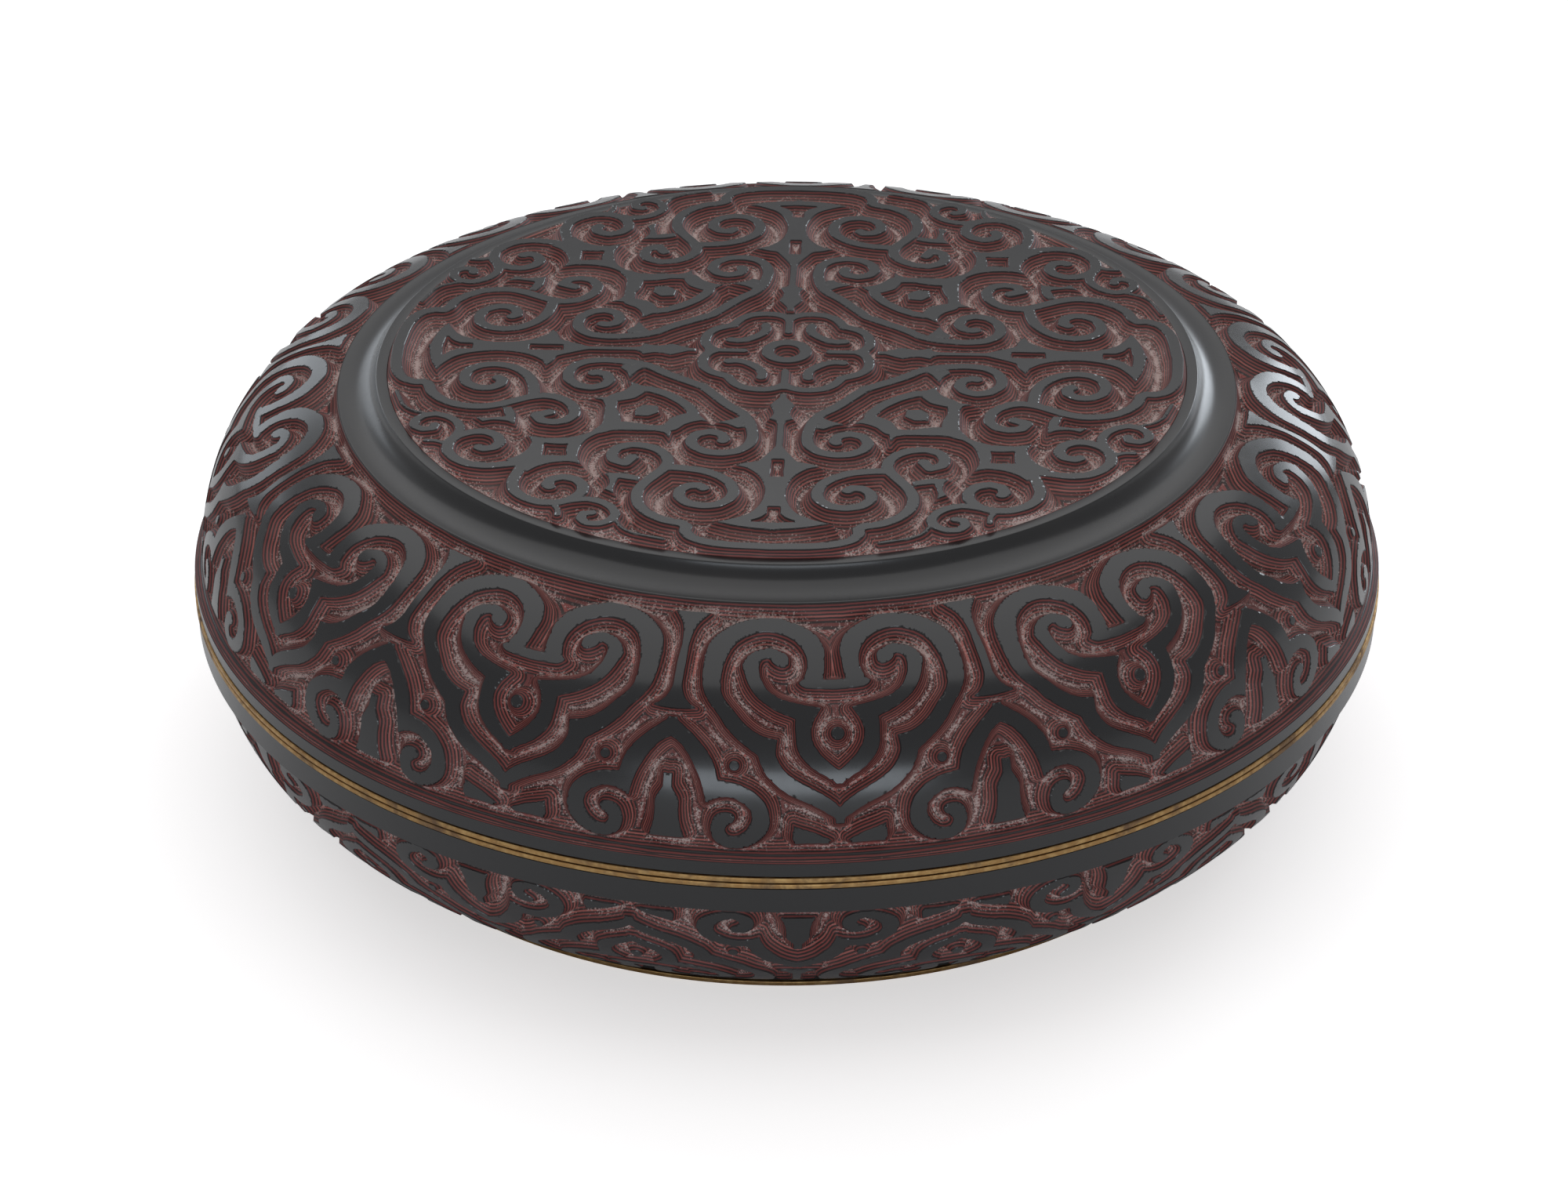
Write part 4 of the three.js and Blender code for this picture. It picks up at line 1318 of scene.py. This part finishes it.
def turned(name, section, mat, radius):
    """A closed section of (radius, height) points swung round the axis."""
    points, rings = [], []
    for r, z in eased(section, radius):
        n = 1 if r == 0 else ROUND
        a = np.arange(n) * math.tau / ROUND
        rings.append(np.arange(n) + len(points))
        points += np.stack([r * np.sin(a), -r * np.cos(a), np.full(n, z)], 1).tolist()
    faces = []
    for one, two in zip(rings, rings[1:] + rings[:1]):
        if len(one) == 1 and len(two) == 1:
            continue
        a, b = np.resize(one, ROUND), np.resize(two, ROUND)
        a2, b2 = np.roll(a, -1), np.roll(b, -1)
        if len(one) > 1:
            faces.append(np.stack([a, a2, b], 1))
        if len(two) > 1:
            faces.append(np.stack([a2 if len(one) > 1 else a, b2, b], 1))
    points, faces = np.array(points), np.vstack(faces)
    if volume(points, faces) < 0:
        faces = faces[:, ::-1]
    o = bpy.data.objects.new(name, make_mesh(name, points, faces, sharp=50))
    bpy.context.collection.objects.link(o)
    o.data.materials.append(mat)
    print("%s: %d triangles, closed %s" % (name, len(faces), is_closed(faces)))
    return o


square = eased([(1, 0), (2, 0), (2, 1), (1, 1)], 0.1)
print("a square section gets %d points once its corners are eased" % len(square))

# %% [markdown]
# ## Sections of the smooth pieces
#
# A lining, an edge or a foot is no more than a thin section. Its radius and heights are read from
# the same piece of the CAD, so that both models agree, and only its thickness is written here. The
# linings follow the outer skin at one depth, as a coat brushed inside a bent hoop does.

# %% Edges and linings
THIN_COAT = 0.8  # the linings, the underside and the foot
LINING_DEPTH = 8.4  # from the outer skin to the lining


def box_of(node):
    """Outer radius, lowest and highest place of a round CAD node, in millimetres."""
    low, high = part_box(node)
    return high[0] / MM, low[2] / MM, high[2] / MM


def hoop_section(node, width):
    r, low, high = box_of(node)
    return [(r - width, low), (r, low), (r, high), (r - width, high)]


def wall_line(skin, depth, start, end, steps=28):
    """The line under a skin at one depth, between two distances from the mouth."""
    r, h = skin.at(np.linspace(0, skin.length, 400), depth)
    levels = np.linspace(start, end, steps)
    return [(float(np.interp(v, h, r)), MOUTH + skin.upwards * float(v)) for v in levels]


def lining_section(skin, node):
    _, low, high = box_of(node)
    level = high - MOUTH if skin.upwards > 0 else MOUTH - low
    z = MOUTH + skin.upwards * level
    outer = wall_line(skin, LINING_DEPTH, WALL_START, level)
    inner = wall_line(skin, LINING_DEPTH + THIN_COAT, WALL_START, level - THIN_COAT)
    return [(0, z - skin.upwards * THIN_COAT), *inner[::-1], *outer, (0, z)]


print("brass edge of the lid: radius %.2f, from %.2f to %.2f mm" % box_of("lid_mouth_band"))

# %% [markdown]
# ## The channel round the field
#
# A smooth hollow parts the round field from the shoulder. It runs inward almost level from the
# shoulder's edge and then sweeps up to a narrow ledge round the field. Two straight lines would
# leave a crease that isn't there, so one bent curve with a single guide point draws it.

# %% The channel's section
HOLLOW_IN, HOLLOW_SINK = 1.2, 0.8  # place of the guide point, beside the lip and under the edge
PANEL_GAP = 0.6  # between the ledge and the raised panel under the field
RIM_LEVEL, RIM_RADIUS = 37.2, 90.45  # the lower outer corner of the channel's coat

lip = (CHANNEL_EDGE[0] - CHANNEL_WIDTH, BOX_TOP - LEDGE_DROP)
ledge = (lip[0] - LEDGE_WIDTH, lip[1])
edge = (CHANNEL_EDGE[0], CHANNEL_EDGE[1] + MOUTH)
hollow = (lip[0] + HOLLOW_IN, edge[1] - HOLLOW_SINK)
channel = [
    tuple((1 - t) ** 2 * np.array(edge) + 2 * (1 - t) * t * np.array(hollow) + t**2 * np.array(lip))
    for t in np.linspace(0, 1, 21)
]
panel, field_under, rim_under = ledge[0] - PANEL_GAP, BOX_TOP - FIELD_COAT, MOUTH + RIM_LEVEL
channel_section = [
    *channel, ledge, (ledge[0], field_under), (panel, field_under), (panel, rim_under),
    (RIM_RADIUS, rim_under),
]
print("channel: from radius %.2f in to %.2f mm, up %.2f mm" % (edge[0], lip[0], lip[1] - edge[1]))

# %% [markdown]
# ## Collar and underside
#
# A collar stands up inside the base's mouth and guides the lid, so its upper outer edge is
# chamfered to catch it. The underside is coated like the linings, with a low rim down the inside of
# the foot. Both are drawn as a few corners, taken from the CAD's sizes.

# %% Two more sections
COLLAR_WALL, COLLAR_CHAMFER = 2.4, 0.8

collar_radius, collar_low, collar_high = box_of("mouth_collar")
collar_section = [
    (collar_radius - COLLAR_WALL, collar_low), (collar_radius, collar_low),
    (collar_radius, collar_high - COLLAR_CHAMFER), (collar_radius - COLLAR_CHAMFER, collar_high),
    (collar_radius - COLLAR_WALL, collar_high),
]
under_radius, under_low, under_high = box_of("underside_lacquer")
under_rim, under_face = under_radius - THIN_COAT, under_high - THIN_COAT
underside_section = [
    (0, under_high), (under_radius, under_high), (under_radius, under_low), (under_rim, under_low),
    (under_rim, under_face), (0, under_face),
]
print("collar: %.2f mm high, %.2f mm above the mouth" % (collar_high - collar_low, collar_high - MOUTH))

# %% [markdown]
# ## Turn the pieces and hand them over
#
# Each piece rides on its own half of the box and takes the place of the CAD's plain solid of that
# coat or edge. Writing nine near-equal blocks would hide what differs, so one table lists the
# piece, its half, its solid, its finish, how much its corners are eased, and its section. The
# carved coats follow in the same way.

# %% Turn and hand over
BRASS, FOOT_BRASS = 10.8, 6.0  # widths of the edges
finishes = {"black_lacquer": black_mat, "brass_edge": brass_mat}
smooth_pieces = [
    # name, body, node, slot, easing, section
    ("channel_ring", "lid", "lid_lacquer", "black_lacquer", 0.25, channel_section),
    ("lid_brass", "lid", "lid_mouth_band", "brass_edge", 0.2, hoop_section("lid_mouth_band", BRASS)),
    ("lid_inside", "lid", "lid_lining", "black_lacquer", 0.2, lining_section(lid_skin, "lid_lining")),
    ("base_brass", "base", "base_mouth_band", "brass_edge", 0.2, hoop_section("base_mouth_band", BRASS)),
    ("base_inside", "base", "base_lining", "black_lacquer", 0.2, lining_section(base_skin, "base_lining")),
    ("guide_collar", "base", "mouth_collar", "black_lacquer", 0.3, collar_section),
    ("foot_coat", "base", "foot_lacquer", "black_lacquer", 0.15, hoop_section("foot_lacquer", THIN_COAT)),
    ("underside", "base", "underside_lacquer", "black_lacquer", 0.2, underside_section),
    ("foot_brass", "base", "foot_band", "brass_edge", 0.2, hoop_section("foot_band", FOOT_BRASS)),
]
for name, body, node, slot, easing, section in smooth_pieces:
    piece = turned(name, section, finishes[slot], easing)
    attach(piece, body)
    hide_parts(node)

for node, pieces in coats_of.items():
    for piece in pieces:
        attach(piece, node.split("_")[0])
        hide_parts(node)
carved = sum(len(pieces) for pieces in coats_of.values())
print("handed over: %d smooth pieces, %d carved ones" % (len(smooth_pieces), carved))

# %% [markdown]
# ## Boards and hoops of the core
#
# The core is thin boards and bent hoops, hidden while the box is whole. They could be modelled
# again, but the CAD's own solids already have their true shape, so these stay and get the wood.

# %% Dress the core
wooden = [n for n in frame["nodes"] if n.endswith(("_hoop", "_board"))]
for node in wooden:
    data = frame["nodes"][node].data
    data.materials.clear()
    data.materials.append(wood_mat)
print("wood shown from the CAD:", sorted(wooden))

# %% [markdown]
# ## The picture
#
# The photograph was taken with a long lens from a little above. A camera could be placed by eye,
# but the rim, the foot and the round field are circles, and the ellipses that they make in the
# picture settle from how high and from how far away it looks.

# %% The camera
SENSOR, LENS = 36, 83.7  # in millimetres
VIEW_PLACE = (0, -0.6727, 0.4318)  # in metres
LOOK_DOWN, ROLL = 30.87, 0.05  # in degrees

camera = bpy.data.objects.new("camera", bpy.data.cameras.new("camera"))
bpy.context.collection.objects.link(camera)
camera.data.sensor_width, camera.data.lens = SENSOR, LENS
camera.data.clip_start, camera.data.clip_end = 0.01, 50
camera.location = VIEW_PLACE
camera.rotation_euler = (math.radians(90 - LOOK_DOWN), 0, math.radians(ROLL))
bpy.context.scene.camera = camera
print("camera: %.2f m from the box" % Vector(VIEW_PLACE).length)

# %% [markdown]
# ## Paper under the box
#
# The box stands on white paper that fades into the white behind it. A stronger lamp would bleach
# the lacquer as well, so the paper has a faint light of its own that only the camera sees. It stays
# an ordinary sheet for the box's shadow and for the shine of the lower coats.

# %% The floor
FLOOR_REACH = 4  # in metres, from the middle to a side
FLOOR_GLOW = 0.58


def floor_sheet(size):
    """White paper, which the camera sees brighter than the lamps alone make it."""
    points = [(x * size / MM, y * size / MM, 0) for x, y in ((-1, -1), (1, -1), (1, 1), (-1, 1))]
    o = bpy.data.objects.new("floor", make_mesh("floor", points, [(0, 1, 2, 3)]))
    bpy.context.collection.objects.link(o)
    m, net, shader = material("white_paper")
    shader["Base Color"].default_value = (0.9, 0.9, 0.9, 1)
    shader["Roughness"].default_value = 0.9
    shader["Emission Color"].default_value = (1, 0.985, 0.98, 1)
    path = net.tree.nodes.new("ShaderNodeLightPath")
    glow = net.math("MULTIPLY", path.outputs["Is Camera Ray"], FLOOR_GLOW)
    net.put(shader["Emission Strength"], glow)
    o.data.materials.append(m)
    return o


floor = floor_sheet(FLOOR_REACH)
print("floor: %d m wide" % (2 * FLOOR_REACH))

# %% [markdown]
# ## Lamps and sky
#
# The real light was wide and soft: bright walls to the left and right run as highlights along the
# shoulder, and little light comes from over the camera, so that the front stays deep. Small lamps
# would put hard sparks on every carved edge. Four wide panels stand for two walls, the ceiling and
# the wall behind the camera, the walls a little blue as daylight is, and a dim sky fills in.

# %% Lamps and sky
SKY_LIGHT, SKY_SEEN = 0.34, 0.66  # its light, and what only the camera sees on top of it


def panel_light(name, place, size, power, target=(0, 0, 0.05), colour=(1, 1, 1)):
    light = bpy.data.lights.new(name, "AREA")
    light.shape, light.size, light.size_y = "RECTANGLE", *size
    light.energy, light.color = power, colour
    o = bpy.data.objects.new(name, light)
    o.location = place
    o.rotation_mode = "QUATERNION"
    o.rotation_quaternion = (Vector(target) - Vector(place)).to_track_quat("-Z", "Y")
    bpy.context.collection.objects.link(o)


# name, place, width and height in metres, and watts
panel_light("left_wall", (-1.3, 1.9, 0.6), (1.2, 0.9), 4, colour=(0.86, 0.93, 1))
panel_light("right_wall", (1.3, 1.9, 0.6), (0.8, 0.9), 9, colour=(0.86, 0.93, 1))
panel_light("ceiling", (0, 1.6, 2.2), (3.4, 4.6), 33, target=(0, 1.6, 0))
panel_light("front_wall", (0, -2.6, 0.3), (2.2, 0.55), 12, colour=(0.84, 0.92, 1))

world = bpy.data.worlds.new("studio")
world.use_nodes = True
bpy.context.scene.world = world
air = Net(world.node_tree)
sky = world.node_tree.nodes["Background"].inputs
path = world.node_tree.nodes.new("ShaderNodeLightPath")
seen = path.outputs["Is Camera Ray"]
cool, white = (1, 1, 1.02, 1), (1, 1, 1, 1)
air.put(sky["Color"], air.mix(seen, cool, white))
air.put(sky["Strength"], air.math("MULTIPLY_ADD", seen, SKY_SEEN, SKY_LIGHT))
bpy.context.scene.view_settings.view_transform = "Standard"
lamps = [o for o in bpy.context.scene.objects if o.type == "LIGHT"]
print("lamps: %d, %.0f watts together" % (len(lamps), sum(o.data.energy for o in lamps)))

# %% [markdown]
